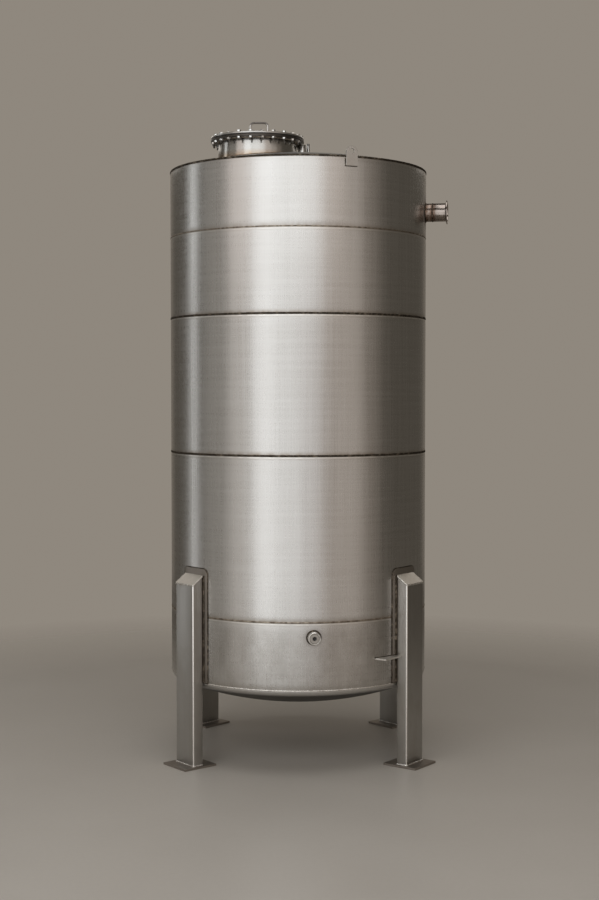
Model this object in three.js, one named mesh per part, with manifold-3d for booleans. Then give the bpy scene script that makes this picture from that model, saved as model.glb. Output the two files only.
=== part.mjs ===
// A stainless steel storage tank of about 1500 litres, standing on four legs on a level floor.
// Millimetres, +Z up, front towards -Y. Everything is laid out round the shell's vertical axis, and
// the finished group is then shifted so that the origin is on the floor, under the middle of the box
// that the tank fills. An azimuth is counted from the front towards +X, in degrees.
import * as THREE from 'three';
import { mergeVertices } from 'three/addons/utils/BufferGeometryUtils.js';
import Module from 'manifold-3d';

const wasm = await Module();
wasm.setup();

// Clearances
const touchGap = 0.3;          // between two faces that touch
const holeGap = 0.6;           // radial room round what passes through a plate
const weldGap = 0.0001;        // vertices closer than this are one vertex

// Shell, roof and bottom
const shellRadius = 500;
const shellWall = 3;
const bottomSeamHeight = 313;  // floor to the seam between bottom and shell
const courseHeights = [250, 606, 516, 312, 251];
const roofThickness = 4;
const roofRise = 60;           // the roof's middle over its edge
const bottomThickness = 3;
const bottomKnuckleRadius = 20;
const bottomCrownRadius = 1300;
const bottomSkirt = 2;         // straight edge over the knuckle

// Manhole on the roof
const manholeX = -156;
const manholeY = -130;
const manholeStandOff = 100;   // the flange's underside over the roof's edge
const neckRadius = 150;
const neckWall = 3;
const neckReachInside = 20;    // how far the neck hangs below the lowest point of its hole
const flangeRadius = 178;
const flangeThickness = 8;
const gasketThickness = 2.5;
const gasketInset = 3;         // the gasket's edge inside the flange's edge
const lidThickness = 6;
const handleWidth = 76;        // over the outside of the bar
const handleHeight = 64;
const handleShift = 6;         // the handle's middle to the right of the lid's middle
const handleRod = 8;
const handleBend = 16;         // radius of the bar's middle at its two corners

// Open sockets on the roof: x, y, outer diameter, wall, height over the roof's edge
const filler = { x: 15, y: -120, diameter: 32, wall: 4, top: 94 };
const vent = { x: 39, y: -20, diameter: 14, wall: 2, top: 116 };
const socketReachInside = 8;   // how far a socket hangs below the lowest point of its hole

// Side nozzle: a pipe with a clamp ferrule
const nozzleAzimuth = 80;
const nozzleDrop = 155;        // its axis under the shell's top
const nozzlePipeDiameter = 70;
const nozzleWall = 2;
const nozzlePipeLength = 28;   // from the shell to the weld with the ferrule
const ferruleLength = 57;
const ferruleDiameter = 91;
const ferruleLip = 3;          // straight edge of the ferrule's flange
const ferruleTaper = 4;        // sloped back of the flange
const nozzleReachInside = 5;

// Plugged boss low on the front
const bossAzimuth = 6.5;
const bossRise = 196;          // its axis over the bottom seam
const bossDiameter = 48;
const bossLength = 28;         // from the shell to its face
const bossBevel = 2.5;
const bossReachInside = 5;
const plugDiameter = 37;
const plugInset = 2;           // the plug's face behind the boss's face

// Lifting lugs, flat plates on the outside of the shell
const lugAzimuths = { lifting_lug_front: 22.5, lifting_lug_back: 202.5 };
const lugWidth = 45;
const lugThickness = 8;
const lugRise = 34;            // the lug's top over the roof's edge
const lugDrop = 37;            // its lower edge under the roof's edge
const lugHoleDiameter = 18;
const lugHoleDrop = 17;        // the hole's middle under the lug's top

// Legs: rectangular hollow section on a doubler pad, with a sloped cap and a foot plate
const legAzimuths = { front_left: -50.7, front_right: 52.8, back_right: 131, back_left: 227.8 };
const legWidth = 112;
const legDepth = 46;
const legWall = 3;
const legCorner = 6;
const legLap = 406;            // the cap's high edge over the bottom seam
const capDrop = 32;            // from the high edge of the cap to its low edge
const capThickness = 3;
const padWidth = 148;
const padThickness = 3;
const padLap = 24;             // the pad's upper edge over the cap's high edge
const padFoot = 3;             // the pad's lower edge over the bottom seam
const padSteps = 8;
const footSize = 142;
const footThickness = 8;

// Small shelf plate between the shell and the front right leg
const shelfRise = 106;         // its upper face over the bottom seam
const shelfThickness = 6;
const shelfLength = 100;       // along the shell, from the leg's side
const shelfDepth = 24;         // its outer edge beyond the shell's radius

// Facets
const shellSegments = 72;
const domeSteps = 5;
const knuckleSteps = 3;
const neckSegments = 48;
const pipeSegments = 32;
const rodSegments = 10;
const rodSteps = 36;
const cornerSegments = 3;

// Heights that follow from the sizes above
const seamHeights = [bottomSeamHeight];
for (const height of courseHeights) {
  seamHeights.push(seamHeights.at(-1) + height);
}
const shellTop = seamHeights.at(-1);
const nozzleHeight = shellTop - nozzleDrop;
const bossHeight = bottomSeamHeight + bossRise;
const legTopHeight = bottomSeamHeight + legLap;
const padTopHeight = legTopHeight + padLap;
const shelfHeight = bottomSeamHeight + shelfRise;
const roofEdgeDrop = edgeDrop(shellRadius, roofRise, roofThickness);
const roofEdge = shellTop + touchGap + roofEdgeDrop;

// ---------------------------------------------------------------- shapes

// The height of the rim of a dished plate, from its lower to its upper edge.
function edgeDrop(radius, rise, thickness) {
  const crown = crownRadius(radius, rise);
  const lower = Math.sqrt((crown - thickness) ** 2 - radius ** 2);
  return Math.sqrt(crown ** 2 - radius ** 2) - lower;
}

function crownRadius(radius, rise) {
  return (radius ** 2 + rise ** 2) / (2 * rise);
}

// A solid of revolution about +Z from [radius, z] pairs that run anticlockwise.
function turned(profile, segments) {
  const points = profile.map(([radius, z]) => new THREE.Vector2(radius, z));
  return new THREE.LatheGeometry(points, segments).rotateX(Math.PI / 2);
}

function ring(inner, outer, low, high, segments) {
  const section = [[outer, low], [outer, high], [inner, high], [inner, low], [outer, low]];
  return turned(section, segments);
}

function disc(radius, low, high, segments) {
  return turned([[0, low], [radius, low], [radius, high], [0, high]], segments);
}

// Lays a solid that was turned about +Z along -Y, so that its height is its distance from the axis.
function pointedOut(geometry) {
  return geometry.rotateX(Math.PI / 2);
}

function arc(centreX, centreZ, radius, from, to, steps) {
  const curve = new THREE.EllipseCurve(centreX, centreZ, radius, radius, from, to, from > to);
  return curve.getPoints(steps).map((point) => [point.x, point.y]);
}

// An outline of [across, along] pairs, raised along +Z from low to high.
function raised(outline, low, high) {
  const shape = new THREE.Shape(outline.map(([x, y]) => new THREE.Vector2(x, y)));
  const settings = { depth: high - low, bevelEnabled: false };
  return new THREE.ExtrudeGeometry(shape, settings).translate(0, 0, low);
}

// An outline of [distance from the axis, height] pairs, given its width across X.
function sideways(outline, width) {
  const shape = new THREE.Shape(outline.map(([x, y]) => new THREE.Vector2(x, y)));
  const geometry = new THREE.ExtrudeGeometry(shape, { depth: width, bevelEnabled: false });
  const outward = new THREE.Vector3(0, -1, 0);
  const upward = new THREE.Vector3(0, 0, 1);
  const across = new THREE.Vector3(-1, 0, 0);
  geometry.applyMatrix4(new THREE.Matrix4().makeBasis(outward, upward, across));
  return geometry.translate(width / 2, 0, 0);
}

// A curved plate whose flats all stay outside the inner radius, centred on -Y.
function curvedPlate(inner, thickness, halfAngle, low, high) {
  const stepAngle = (2 * halfAngle) / padSteps;
  const flatsOut = 1 / Math.cos(stepAngle / 2);
  const outline = [];
  for (let i = 0; i <= padSteps; i += 1) {
    outline.push(onCircle(inner * flatsOut, -halfAngle + i * stepAngle));
  }
  for (let i = padSteps; i >= 0; i -= 1) {
    outline.push(onCircle((inner + thickness) * flatsOut, -halfAngle + i * stepAngle));
  }
  return raised(outline, low, high);
}

function onCircle(radius, angle) {
  return [radius * Math.sin(angle), -radius * Math.cos(angle)];
}

function roundedBox(path, width, depth, centreY, corner) {
  const [x, y] = [width / 2 - corner, depth / 2 - corner];
  path.absarc(x, centreY + y, corner, 0, Math.PI / 2, false);
  path.absarc(-x, centreY + y, corner, Math.PI / 2, Math.PI, false);
  path.absarc(-x, centreY - y, corner, Math.PI, 1.5 * Math.PI, false);
  path.absarc(x, centreY - y, corner, 1.5 * Math.PI, 2 * Math.PI, false);
  path.closePath();
  return path;
}

// ---------------------------------------------------------------- cuts and joins

function solidOf(geometry) {
  const bare = geometry.clone();
  bare.deleteAttribute('normal');
  bare.deleteAttribute('uv');
  const merged = mergeVertices(bare, weldGap);
  const corners = merged.getIndex().array;
  const triangles = [];
  for (let i = 0; i < corners.length; i += 3) {
    const [a, b, c] = [corners[i], corners[i + 1], corners[i + 2]];
    if (a !== b && b !== c && c !== a) {
      triangles.push(a, b, c);
    }
  }
  return new wasm.Manifold(new wasm.Mesh({
    numProp: 3,
    vertProperties: new Float32Array(merged.getAttribute('position').array),
    triVerts: new Uint32Array(triangles),
  }));
}

function geometryOf(solid) {
  const mesh = solid.getMesh();
  const geometry = new THREE.BufferGeometry();
  geometry.setAttribute('position', new THREE.BufferAttribute(mesh.vertProperties, 3));
  geometry.setIndex(new THREE.BufferAttribute(mesh.triVerts, 1));
  geometry.computeVertexNormals();
  return geometry;
}

function cut(geometry, ...tools) {
  let solid = solidOf(geometry);
  for (const tool of tools) {
    solid = solid.subtract(solidOf(tool));
  }
  return geometryOf(solid);
}

// ---------------------------------------------------------------- materials and placing

const finishes = {
  sheet: { color: 0xb4b1aa, roughness: 0.36, metalness: 0.9 },
  pressed: { color: 0xa9a6a0, roughness: 0.4, metalness: 0.9 },
  machined: { color: 0xc4c2bd, roughness: 0.25, metalness: 0.95 },
  legs: { color: 0xb0aca4, roughness: 0.42, metalness: 0.85 },
  gasket: { color: 0x2a2a2b, roughness: 0.85, metalness: 0.0 },
};

function part(name, geometry, finish) {
  const mesh = new THREE.Mesh(geometry, new THREE.MeshStandardMaterial(finishes[finish]));
  mesh.name = name;
  return mesh;
}

// A group whose own -Y points outward at the given azimuth.
function facing(azimuth) {
  const group = new THREE.Group();
  group.rotation.z = THREE.MathUtils.degToRad(azimuth);
  return group;
}

// ---------------------------------------------------------------- shell, roof and bottom

const shellHoles = [
  { radius: bossDiameter / 2 + holeGap, azimuth: bossAzimuth, height: bossHeight },
  { radius: nozzlePipeDiameter / 2 + holeGap, azimuth: nozzleAzimuth, height: nozzleHeight },
];

// A drill that passes through the shell's wall on one side.
function radialDrill({ radius, azimuth, height }) {
  const drill = pointedOut(disc(radius, shellRadius / 2, shellRadius * 1.5, pipeSegments));
  drill.translate(0, 0, height);
  return drill.rotateZ(THREE.MathUtils.degToRad(azimuth));
}

function shellCourse(index) {
  const low = seamHeights[index] + touchGap;
  const high = seamHeights[index + 1];
  const wall = ring(shellRadius - shellWall, shellRadius, low, high, shellSegments);
  const meets = ({ radius, height }) => height + radius > low && height - radius < high;
  const holes = shellHoles.filter(meets);
  return holes.length ? cut(wall, ...holes.map(radialDrill)) : wall;
}

// The height of the roof's upper face, or of its lower one, at a distance from the axis.
function roofSurface(distance, depth = 0) {
  const crown = crownRadius(shellRadius, roofRise);
  return roofEdge + roofRise - crown + Math.sqrt((crown - depth) ** 2 - distance ** 2);
}

// The lowest height of the roof's lower face anywhere in a round hole.
function lowestUnderRoof(x, y, radius) {
  return roofSurface(Math.hypot(x, y) + radius, roofThickness);
}

function roof() {
  const crown = crownRadius(shellRadius, roofRise);
  const centre = roofEdge + roofRise - crown;
  const top = Math.PI / 2;
  const lowerEdge = top - Math.asin(shellRadius / (crown - roofThickness));
  const upperEdge = top - Math.asin(shellRadius / crown);
  const plate = turned([
    ...arc(0, centre, crown - roofThickness, top, lowerEdge, domeSteps),
    ...arc(0, centre, crown, upperEdge, top, domeSteps),
  ], shellSegments);
  const throughRoof = (x, y, radius, segments) => (
    disc(radius + holeGap, shellTop - roofRise, roofEdge + 2 * roofRise, segments).translate(x, y, 0)
  );
  return cut(
    plate,
    throughRoof(manholeX, manholeY, neckRadius, neckSegments),
    throughRoof(filler.x, filler.y, filler.diameter / 2, pipeSegments),
    throughRoof(vent.x, vent.y, vent.diameter / 2, pipeSegments),
  );
}

// A shallow dish: a crown, a knuckle and a short straight edge that meets the shell.
function bottomHead() {
  const knuckleX = shellRadius - bottomKnuckleRadius;
  const knuckleZ = bottomSeamHeight - bottomSkirt;
  const crownToKnuckle = bottomCrownRadius - bottomKnuckleRadius;
  const crownZ = knuckleZ + Math.sqrt(crownToKnuckle ** 2 - knuckleX ** 2);
  const down = -Math.PI / 2;
  const joint = down + Math.asin(knuckleX / crownToKnuckle);
  const inside = bottomThickness;
  return turned([
    ...arc(0, crownZ, bottomCrownRadius, down, joint, domeSteps),
    ...arc(knuckleX, knuckleZ, bottomKnuckleRadius, joint, 0, knuckleSteps).slice(1),
    [shellRadius, bottomSeamHeight],
    [shellRadius - inside, bottomSeamHeight],
    ...arc(knuckleX, knuckleZ, bottomKnuckleRadius - inside, 0, joint, knuckleSteps),
    ...arc(0, crownZ, bottomCrownRadius - inside, joint, down, domeSteps).slice(1),
  ], shellSegments);
}

const tank = new THREE.Group();
tank.add(part('bottom_head', bottomHead(), 'pressed'));
courseHeights.forEach((height, index) => {
  tank.add(part(`shell_course_${index + 1}`, shellCourse(index), 'sheet'));
});
tank.add(part('roof_plate', roof(), 'pressed'));

// ---------------------------------------------------------------- manhole

const flangeLow = roofEdge + manholeStandOff;
const flangeHigh = flangeLow + flangeThickness;
const gasketLow = flangeHigh + touchGap;
const lidLow = gasketLow + gasketThickness + touchGap;
const lidHigh = lidLow + lidThickness;

function manholeNeck() {
  const low = lowestUnderRoof(manholeX, manholeY, neckRadius) - neckReachInside;
  return ring(neckRadius - neckWall, neckRadius, low, flangeHigh, neckSegments);
}

// A bar bent into a U, standing on the lid.
function liftingHandle() {
  const x = (handleWidth - handleRod) / 2;
  const top = handleHeight - handleRod / 2;
  const point = (px, pz) => new THREE.Vector3(px, 0, pz);
  const route = new THREE.CurvePath();
  route.add(new THREE.LineCurve3(point(-x, 0), point(-x, top - handleBend)));
  route.add(new THREE.QuadraticBezierCurve3(
    point(-x, top - handleBend),
    point(-x, top),
    point(-x + handleBend, top),
  ));
  route.add(new THREE.LineCurve3(point(-x + handleBend, top), point(x - handleBend, top)));
  route.add(new THREE.QuadraticBezierCurve3(
    point(x - handleBend, top),
    point(x, top),
    point(x, top - handleBend),
  ));
  route.add(new THREE.LineCurve3(point(x, top - handleBend), point(x, 0)));
  const section = new THREE.Shape();
  section.absarc(0, 0, handleRod / 2, 0, 2 * Math.PI, false);
  return new THREE.ExtrudeGeometry(section, {
    steps: rodSteps,
    curveSegments: rodSegments / 2,
    extrudePath: route,
  });
}

const manhole = new THREE.Group();
manhole.position.set(manholeX, manholeY, 0);
const boltedEdge = ring(neckRadius + holeGap, flangeRadius, flangeLow, flangeHigh, neckSegments);
const sealing = ring(
  neckRadius - neckWall,
  flangeRadius - gasketInset,
  gasketLow,
  gasketLow + gasketThickness,
  neckSegments,
);
manhole.add(part('manhole_neck', manholeNeck(), 'sheet'));
manhole.add(part('manhole_flange', boltedEdge, 'machined'));
manhole.add(part('manhole_gasket', sealing, 'gasket'));
manhole.add(part('manhole_lid', disc(flangeRadius, lidLow, lidHigh, neckSegments), 'machined'));
const handle = part('lid_handle', liftingHandle(), 'machined');
handle.position.x = handleShift;
handle.position.z = lidHigh + touchGap;
manhole.add(handle);
tank.add(manhole);

// ---------------------------------------------------------------- sockets on the roof

function roofSocket({ x, y, diameter, wall, top }) {
  const radius = diameter / 2;
  const low = lowestUnderRoof(x, y, radius) - socketReachInside;
  return ring(radius - wall, radius, low, roofEdge + top, pipeSegments).translate(x, y, 0);
}

tank.add(part('filler_socket', roofSocket(filler), 'machined'));
tank.add(part('vent_pipe', roofSocket(vent), 'machined'));

// ---------------------------------------------------------------- side nozzle

const nozzleBore = nozzlePipeDiameter / 2 - nozzleWall;
const nozzleStart = shellRadius - shellWall - nozzleReachInside;
const nozzleWeld = shellRadius + nozzlePipeLength;

function clampFerrule() {
  const start = nozzleWeld + touchGap;
  const face = nozzleWeld + ferruleLength;
  const pipe = nozzlePipeDiameter / 2;
  const lip = ferruleDiameter / 2;
  return turned([
    [nozzleBore, start],
    [pipe, start],
    [pipe, face - ferruleLip - ferruleTaper],
    [lip, face - ferruleLip],
    [lip, face],
    [nozzleBore, face],
    [nozzleBore, start],
  ], pipeSegments);
}

const nozzle = facing(nozzleAzimuth);
const nozzlePipe = ring(nozzleBore, nozzlePipeDiameter / 2, nozzleStart, nozzleWeld, pipeSegments);
nozzle.add(part('nozzle_pipe', pointedOut(nozzlePipe), 'sheet'));
nozzle.add(part('nozzle_ferrule', pointedOut(clampFerrule()), 'machined'));
nozzle.position.z = nozzleHeight;
tank.add(nozzle);

// ---------------------------------------------------------------- plugged boss

const bossStart = shellRadius - shellWall - bossReachInside;
const bossFace = shellRadius + bossLength;

function bossRing() {
  const inner = plugDiameter / 2 + touchGap;
  const outer = bossDiameter / 2;
  return turned([
    [outer, bossStart],
    [outer, bossFace - bossBevel],
    [outer - bossBevel, bossFace],
    [inner, bossFace],
    [inner, bossStart],
    [outer, bossStart],
  ], pipeSegments);
}

const boss = facing(bossAzimuth);
const plug = disc(plugDiameter / 2, bossStart, bossFace - plugInset, pipeSegments);
boss.add(part('drain_boss', pointedOut(bossRing()), 'machined'));
boss.add(part('drain_plug', pointedOut(plug), 'machined'));
boss.position.z = bossHeight;
tank.add(boss);

// ---------------------------------------------------------------- lifting lugs

function liftingLug() {
  const round = lugWidth / 2;
  const shape = new THREE.Shape();
  shape.moveTo(-round, -lugDrop);
  shape.lineTo(round, -lugDrop);
  shape.absarc(0, lugRise - round, round, 0, Math.PI, false);
  shape.closePath();
  const hole = new THREE.Path();
  hole.absarc(0, lugRise - lugHoleDrop, lugHoleDiameter / 2, 0, 2 * Math.PI, true);
  shape.holes.push(hole);
  const settings = { depth: lugThickness, bevelEnabled: false, curveSegments: rodSegments };
  const plate = new THREE.ExtrudeGeometry(shape, settings);
  return plate.rotateX(Math.PI / 2).translate(0, -shellRadius - touchGap, roofEdge);
}

for (const [name, azimuth] of Object.entries(lugAzimuths)) {
  const place = facing(azimuth);
  place.add(part(name, liftingLug(), 'legs'));
  tank.add(place);
}

// ---------------------------------------------------------------- legs

const padInner = shellRadius + touchGap;
const padHalfAngle = padWidth / 2 / shellRadius;
const padLow = bottomSeamHeight + padFoot;
const legInner = shellRadius + touchGap + padThickness + 2 * touchGap;
const legOuter = legInner + legDepth;
const legMiddle = (legInner + legOuter) / 2;
const capSlope = capDrop / legDepth;
const capPlumb = capThickness * Math.hypot(1, capSlope);

// The height of the cap's upper face at a distance from the shell's axis.
function capSurface(distance) {
  return legTopHeight - (distance - legInner) * capSlope;
}

function legTube() {
  const section = roundedBox(new THREE.Shape(), legWidth, legDepth, -legMiddle, legCorner);
  const hollow = [legWidth - 2 * legWall, legDepth - 2 * legWall];
  section.holes.push(roundedBox(new THREE.Path(), ...hollow, -legMiddle, legCorner - legWall));
  const low = footThickness + touchGap;
  const tube = new THREE.ExtrudeGeometry(section, {
    depth: legTopHeight - low,
    bevelEnabled: false,
    curveSegments: cornerSegments,
  }).translate(0, 0, low);
  const under = capPlumb + touchGap;
  const [near, far] = [legInner - legDepth, legOuter + legDepth];
  const waste = sideways([
    [near, capSurface(near) - under],
    [far, capSurface(far) - under],
    [far, legTopHeight + legDepth],
    [near, legTopHeight + legDepth],
  ], 2 * legWidth);
  return cut(tube, waste);
}

function legCap() {
  return sideways([
    [legInner, capSurface(legInner) - capPlumb],
    [legOuter, capSurface(legOuter) - capPlumb],
    [legOuter, capSurface(legOuter)],
    [legInner, capSurface(legInner)],
  ], legWidth);
}

function footPlate() {
  return new THREE.BoxGeometry(footSize, footSize, footThickness)
    .translate(0, -legMiddle, footThickness / 2);
}

for (const [side, azimuth] of Object.entries(legAzimuths)) {
  const leg = facing(azimuth);
  const pad = curvedPlate(padInner, padThickness, padHalfAngle, padLow, padTopHeight);
  leg.add(part(`leg_pad_${side}`, pad, 'legs'));
  leg.add(part(`leg_tube_${side}`, legTube(), 'legs'));
  leg.add(part(`leg_cap_${side}`, legCap(), 'legs'));
  leg.add(part(`foot_plate_${side}`, footPlate(), 'legs'));
  tank.add(leg);
}

// ---------------------------------------------------------------- shelf plate by the front right leg

// A flat plate in the corner between the leg's side and the shell, cut to the shell and the pad.
function shelfPlate() {
  const side = -legWidth / 2 - touchGap;
  const low = shelfHeight - shelfThickness;
  const blank = raised([
    [side - shelfLength, -shellRadius - shelfDepth],
    [side, -shellRadius - shelfDepth],
    [side, -shellRadius / 2],
    [side - shelfLength, -shellRadius / 2],
  ], low, shelfHeight);
  const flatsOut = 1 / Math.cos(Math.PI / shellSegments);
  const [under, over] = [low - shelfThickness, shelfHeight + shelfThickness];
  const shellRoom = disc((shellRadius + touchGap) * flatsOut, under, over, shellSegments);
  const padRoom = curvedPlate(
    padInner - 2 * padThickness,
    3 * padThickness + touchGap,
    padHalfAngle + touchGap / shellRadius,
    under,
    over,
  );
  return cut(blank, shellRoom, padRoom);
}

const shelf = facing(legAzimuths.front_right);
shelf.add(part('earth_shelf', shelfPlate(), 'legs'));
tank.add(shelf);

// ---------------------------------------------------------------- origin

const extent = new THREE.Box3().setFromObject(tank);
const middle = extent.getCenter(new THREE.Vector3());
tank.position.set(-middle.x, -middle.y, 0);

export default tank;
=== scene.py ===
"""A stainless steel storage tank on four legs, with the looks of the real metal.

Metres, +Z up, front towards -Y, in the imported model's own frame. An azimuth is counted from the
front towards +X, in degrees, about the shell's vertical axis.
"""

import math

import bmesh
import bpy
from mathutils import Matrix, Vector


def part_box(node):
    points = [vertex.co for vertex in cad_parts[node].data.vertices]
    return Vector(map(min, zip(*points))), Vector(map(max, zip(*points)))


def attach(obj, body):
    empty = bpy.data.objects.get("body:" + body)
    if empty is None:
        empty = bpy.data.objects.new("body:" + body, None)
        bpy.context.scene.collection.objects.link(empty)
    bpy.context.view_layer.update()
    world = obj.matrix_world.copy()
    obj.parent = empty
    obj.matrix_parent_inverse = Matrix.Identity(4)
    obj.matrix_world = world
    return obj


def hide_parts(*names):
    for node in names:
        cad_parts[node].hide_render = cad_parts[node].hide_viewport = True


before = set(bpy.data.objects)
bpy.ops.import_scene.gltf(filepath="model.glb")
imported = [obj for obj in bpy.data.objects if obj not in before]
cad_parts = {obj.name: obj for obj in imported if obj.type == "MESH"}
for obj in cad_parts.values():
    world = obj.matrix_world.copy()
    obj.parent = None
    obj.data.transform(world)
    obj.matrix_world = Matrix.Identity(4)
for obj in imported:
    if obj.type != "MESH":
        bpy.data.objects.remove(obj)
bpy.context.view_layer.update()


# ------------------------------------------------------------------ bottom
# The bottom is a shallow dished end, pressed from 3 mm stainless sheet with a tight knuckle, and
# butt-welded to the lowest course. It hangs free between the legs and has a dull mill finish. From a
# little below its seam downward it is painted near black, as shade.

MM = 0.001
BODY = "root"
STEEL = (0.60, 0.585, 0.565)

bottom_low, bottom_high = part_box("bottom_head")
shell_radius = (bottom_high.x - bottom_low.x) / 2
axis_x = (bottom_high.x + bottom_low.x) / 2
axis_y = (bottom_high.y + bottom_low.y) / 2
on_axis = Matrix.Translation((axis_x, axis_y, 0))
round_steps = 192


class Value:
    """A socket's value in a material, so that sums on it are written as plain expressions."""

    def __init__(self, finish, socket):
        self.finish = finish
        self.socket = socket

    def math(self, operation, *others, clamp=False):
        values = [self, *others]
        inputs = {f"Value_{i:03d}" if i else "Value": value for i, value in enumerate(values)}
        settings = {"operation": operation, "use_clamp": clamp}
        return self.finish.node("ShaderNodeMath", settings, inputs)

    def __add__(self, other):
        return self.math("ADD", other)

    def __sub__(self, other):
        return self.math("SUBTRACT", other)

    def __rsub__(self, other):
        return (self * -1) + other

    def __mul__(self, other):
        return self.math("MULTIPLY", other)

    def __truediv__(self, other):
        return self.math("DIVIDE", other)

    def __pow__(self, other):
        return self.math("POWER", other)

    def __abs__(self):
        return self.math("ABSOLUTE")

    __radd__ = __add__
    __rmul__ = __mul__

    def kept(self):
        """The value held between 0 and 1."""
        return self.math("ADD", 0, clamp=True)

    def most(self, other):
        return self.math("MAXIMUM", other)

    def sine(self):
        return self.math("SINE")


class Finish:
    """A material that is built up node by node."""

    def __init__(self, name):
        self.material = bpy.data.materials.new(name)
        self.material.use_nodes = True
        self.tree = self.material.node_tree
        self.tree.nodes.clear()

    def node(self, kind, settings=None, inputs=None, output=None):
        """Adds one node and returns the value of one of its outputs, the first if none is named."""
        node = self.tree.nodes.new(kind)
        for key, setting in (settings or {}).items():
            setattr(node, key, setting)
        for key, value in (inputs or {}).items():
            socket = next(s for s in node.inputs if key in (s.identifier, s.name))
            if isinstance(value, Value):
                self.tree.links.new(value.socket, socket)
            else:
                socket.default_value = value
        outputs = [s for s in node.outputs if output in (None, s.identifier, s.name)]
        return Value(self, outputs[0]) if outputs else node

    def place(self):
        """The point's own place on the tank."""
        return self.node("ShaderNodeTexCoord", output="Object")

    def stretched(self, scale, offset=(0, 0, 0)):
        """The point's place, scaled differently along each axis."""
        inputs = {"Vector": self.place(), "Location": offset, "Scale": scale}
        return self.node("ShaderNodeMapping", None, inputs)

    def noise(self, scale, detail=2, roughness=0.5, offset=(0, 0, 0)):
        """Cloudy values from 0 to 1, with so many clouds to the metre along each axis."""
        inputs = {
            "Vector": self.stretched(scale, offset),
            "Scale": 1,
            "Detail": detail,
            "Roughness": roughness,
        }
        return self.node("ShaderNodeTexNoise", None, inputs, "Fac")

    def part_of_place(self, axis):
        inputs = {"Vector": self.place()}
        return self.node("ShaderNodeSeparateXYZ", None, inputs, axis)

    def distance_to(self, point):
        inputs = {"Vector": self.place(), "Vector_001": point}
        return self.node("ShaderNodeVectorMath", {"operation": "DISTANCE"}, inputs, "Value")

    def mixed(self, share, first, second):
        """A colour that goes from the first to the second as the share goes from 0 to 1."""
        as_colour = [c if isinstance(c, Value) else (*c, 1) for c in (first, second)]
        inputs = {"Factor_Float": share, "A_Color": as_colour[0], "B_Color": as_colour[1]}
        return self.node("ShaderNodeMix", {"data_type": "RGBA"}, inputs, "Result_Color")

    def bump(self, height, strength, distance, under=None):
        inputs = {"Height": height, "Strength": strength, "Distance": distance}
        if under is not None:
            inputs["Normal"] = under
        return self.node("ShaderNodeBump", None, inputs)

    def surface(self, **inputs):
        """Ends the material in one Principled surface and returns the material."""
        named = {key.replace("_", " "): value for key, value in inputs.items()}
        shader = self.node("ShaderNodeBsdfPrincipled", None, named)
        self.node("ShaderNodeOutputMaterial", None, {"Surface": shader})
        return self.material


def shown_as(piece, slot, *nodes):
    """Fixes a finished piece to the tank, in the place of the CAD nodes that it stands for."""
    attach(piece, BODY)
    if nodes:
        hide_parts(*nodes)


def piece_of(name, mesh, material, place=Matrix(), crease=30):
    """An object at the origin with its place in its mesh, shaded smooth but for its real edges."""
    data = bpy.data.meshes.new(name)
    mesh.transform(place)
    mesh.to_mesh(data)
    mesh.free()
    data.materials.append(material)
    data.shade_smooth()
    data.set_sharp_from_angle(angle=math.radians(crease))
    piece = bpy.data.objects.new(name, data)
    bpy.context.scene.collection.objects.link(piece)
    return piece


def turned(profile, steps=round_steps, mesh=None):
    """A solid turned about Z from (radius, height) pairs that run anticlockwise. A radius may be a
    function of the angle. A section that starts off the axis is closed on itself."""
    mesh = mesh or bmesh.new()
    rings = []
    for radius, height in profile:
        if radius == 0:
            rings.append([mesh.verts.new((0, 0, height))])
            continue
        ring = []
        for step in range(steps):
            angle = step * math.tau / steps
            reach = radius(angle) if callable(radius) else radius
            ring.append(mesh.verts.new((reach * math.cos(angle), reach * math.sin(angle), height)))
        rings.append(ring)
    pairs = list(zip(rings, rings[1:]))
    if len(rings[0]) > 1:
        pairs.append((rings[-1], rings[0]))
    for lower, upper in pairs:
        for step in range(steps):
            after = (step + 1) % steps
            around = [lower[step % len(lower)], lower[after % len(lower)]]
            around += [upper[after % len(upper)], upper[step % len(upper)]]
            corners = list(dict.fromkeys(around))
            if len(corners) > 2:
                mesh.faces.new(corners)
    return mesh


def joined(mesh, first, second):
    """Closes the band between two loops with as many vertices."""
    for i in range(len(first)):
        after = (i + 1) % len(first)
        mesh.faces.new([first[i], first[after], second[after], second[i]])


def arc(centre, radius, start, end, steps):
    """Points of an arc round a centre, by angles in degrees."""
    points = []
    for step in range(steps + 1):
        angle = math.radians(start + (end - start) * step / steps)
        points.append((centre[0] + radius * math.cos(angle), centre[1] + radius * math.sin(angle)))
    return points


seam_height = bottom_high.z


def mill_finish(name, colour, roughness, cloud_offset):
    """Dull pressed sheet: soft clouds, a fine grain, and painted shade, near black, on what hangs
    lowest.
    """
    finish = Finish(name)
    clouds = finish.noise((9, 9, 9), 3, 0.6, cloud_offset)
    grain = finish.noise((900, 900, 900), 2)
    stain = (finish.noise((3.1, 3.1, 5), 4, 0.65, cloud_offset) * 2.4 - 0.9).kept()
    darker = tuple(c * 0.86 for c in colour)
    stained = tuple(c * k for c, k in zip(colour, (0.80, 0.75, 0.68)))
    shade = finish.mixed(stain * 0.55, finish.mixed(clouds, darker, colour), stained)
    # painted shade: below the seam the colour goes nearly black, as if in the shadow under the tank
    painted_shade_underneath = ((seam_height - 15 * MM - finish.part_of_place("Z")) / (9 * MM)).kept()
    shade = finish.mixed(painted_shade_underneath * 0.93, shade, (0.045, 0.040, 0.034))
    relief = finish.bump(grain * 0.4 + clouds * 2, 0.5, 0.12 * MM)
    return finish.surface(
        Base_Color=shade,
        Metallic=1 - painted_shade_underneath * 0.5,
        Roughness=clouds * 0.12 + stain * 0.1 + roughness,
        Normal=relief,
    )


bottom_wall = 3 * MM
crown_radius = 1300 * MM
knuckle_radius = 20 * MM

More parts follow.
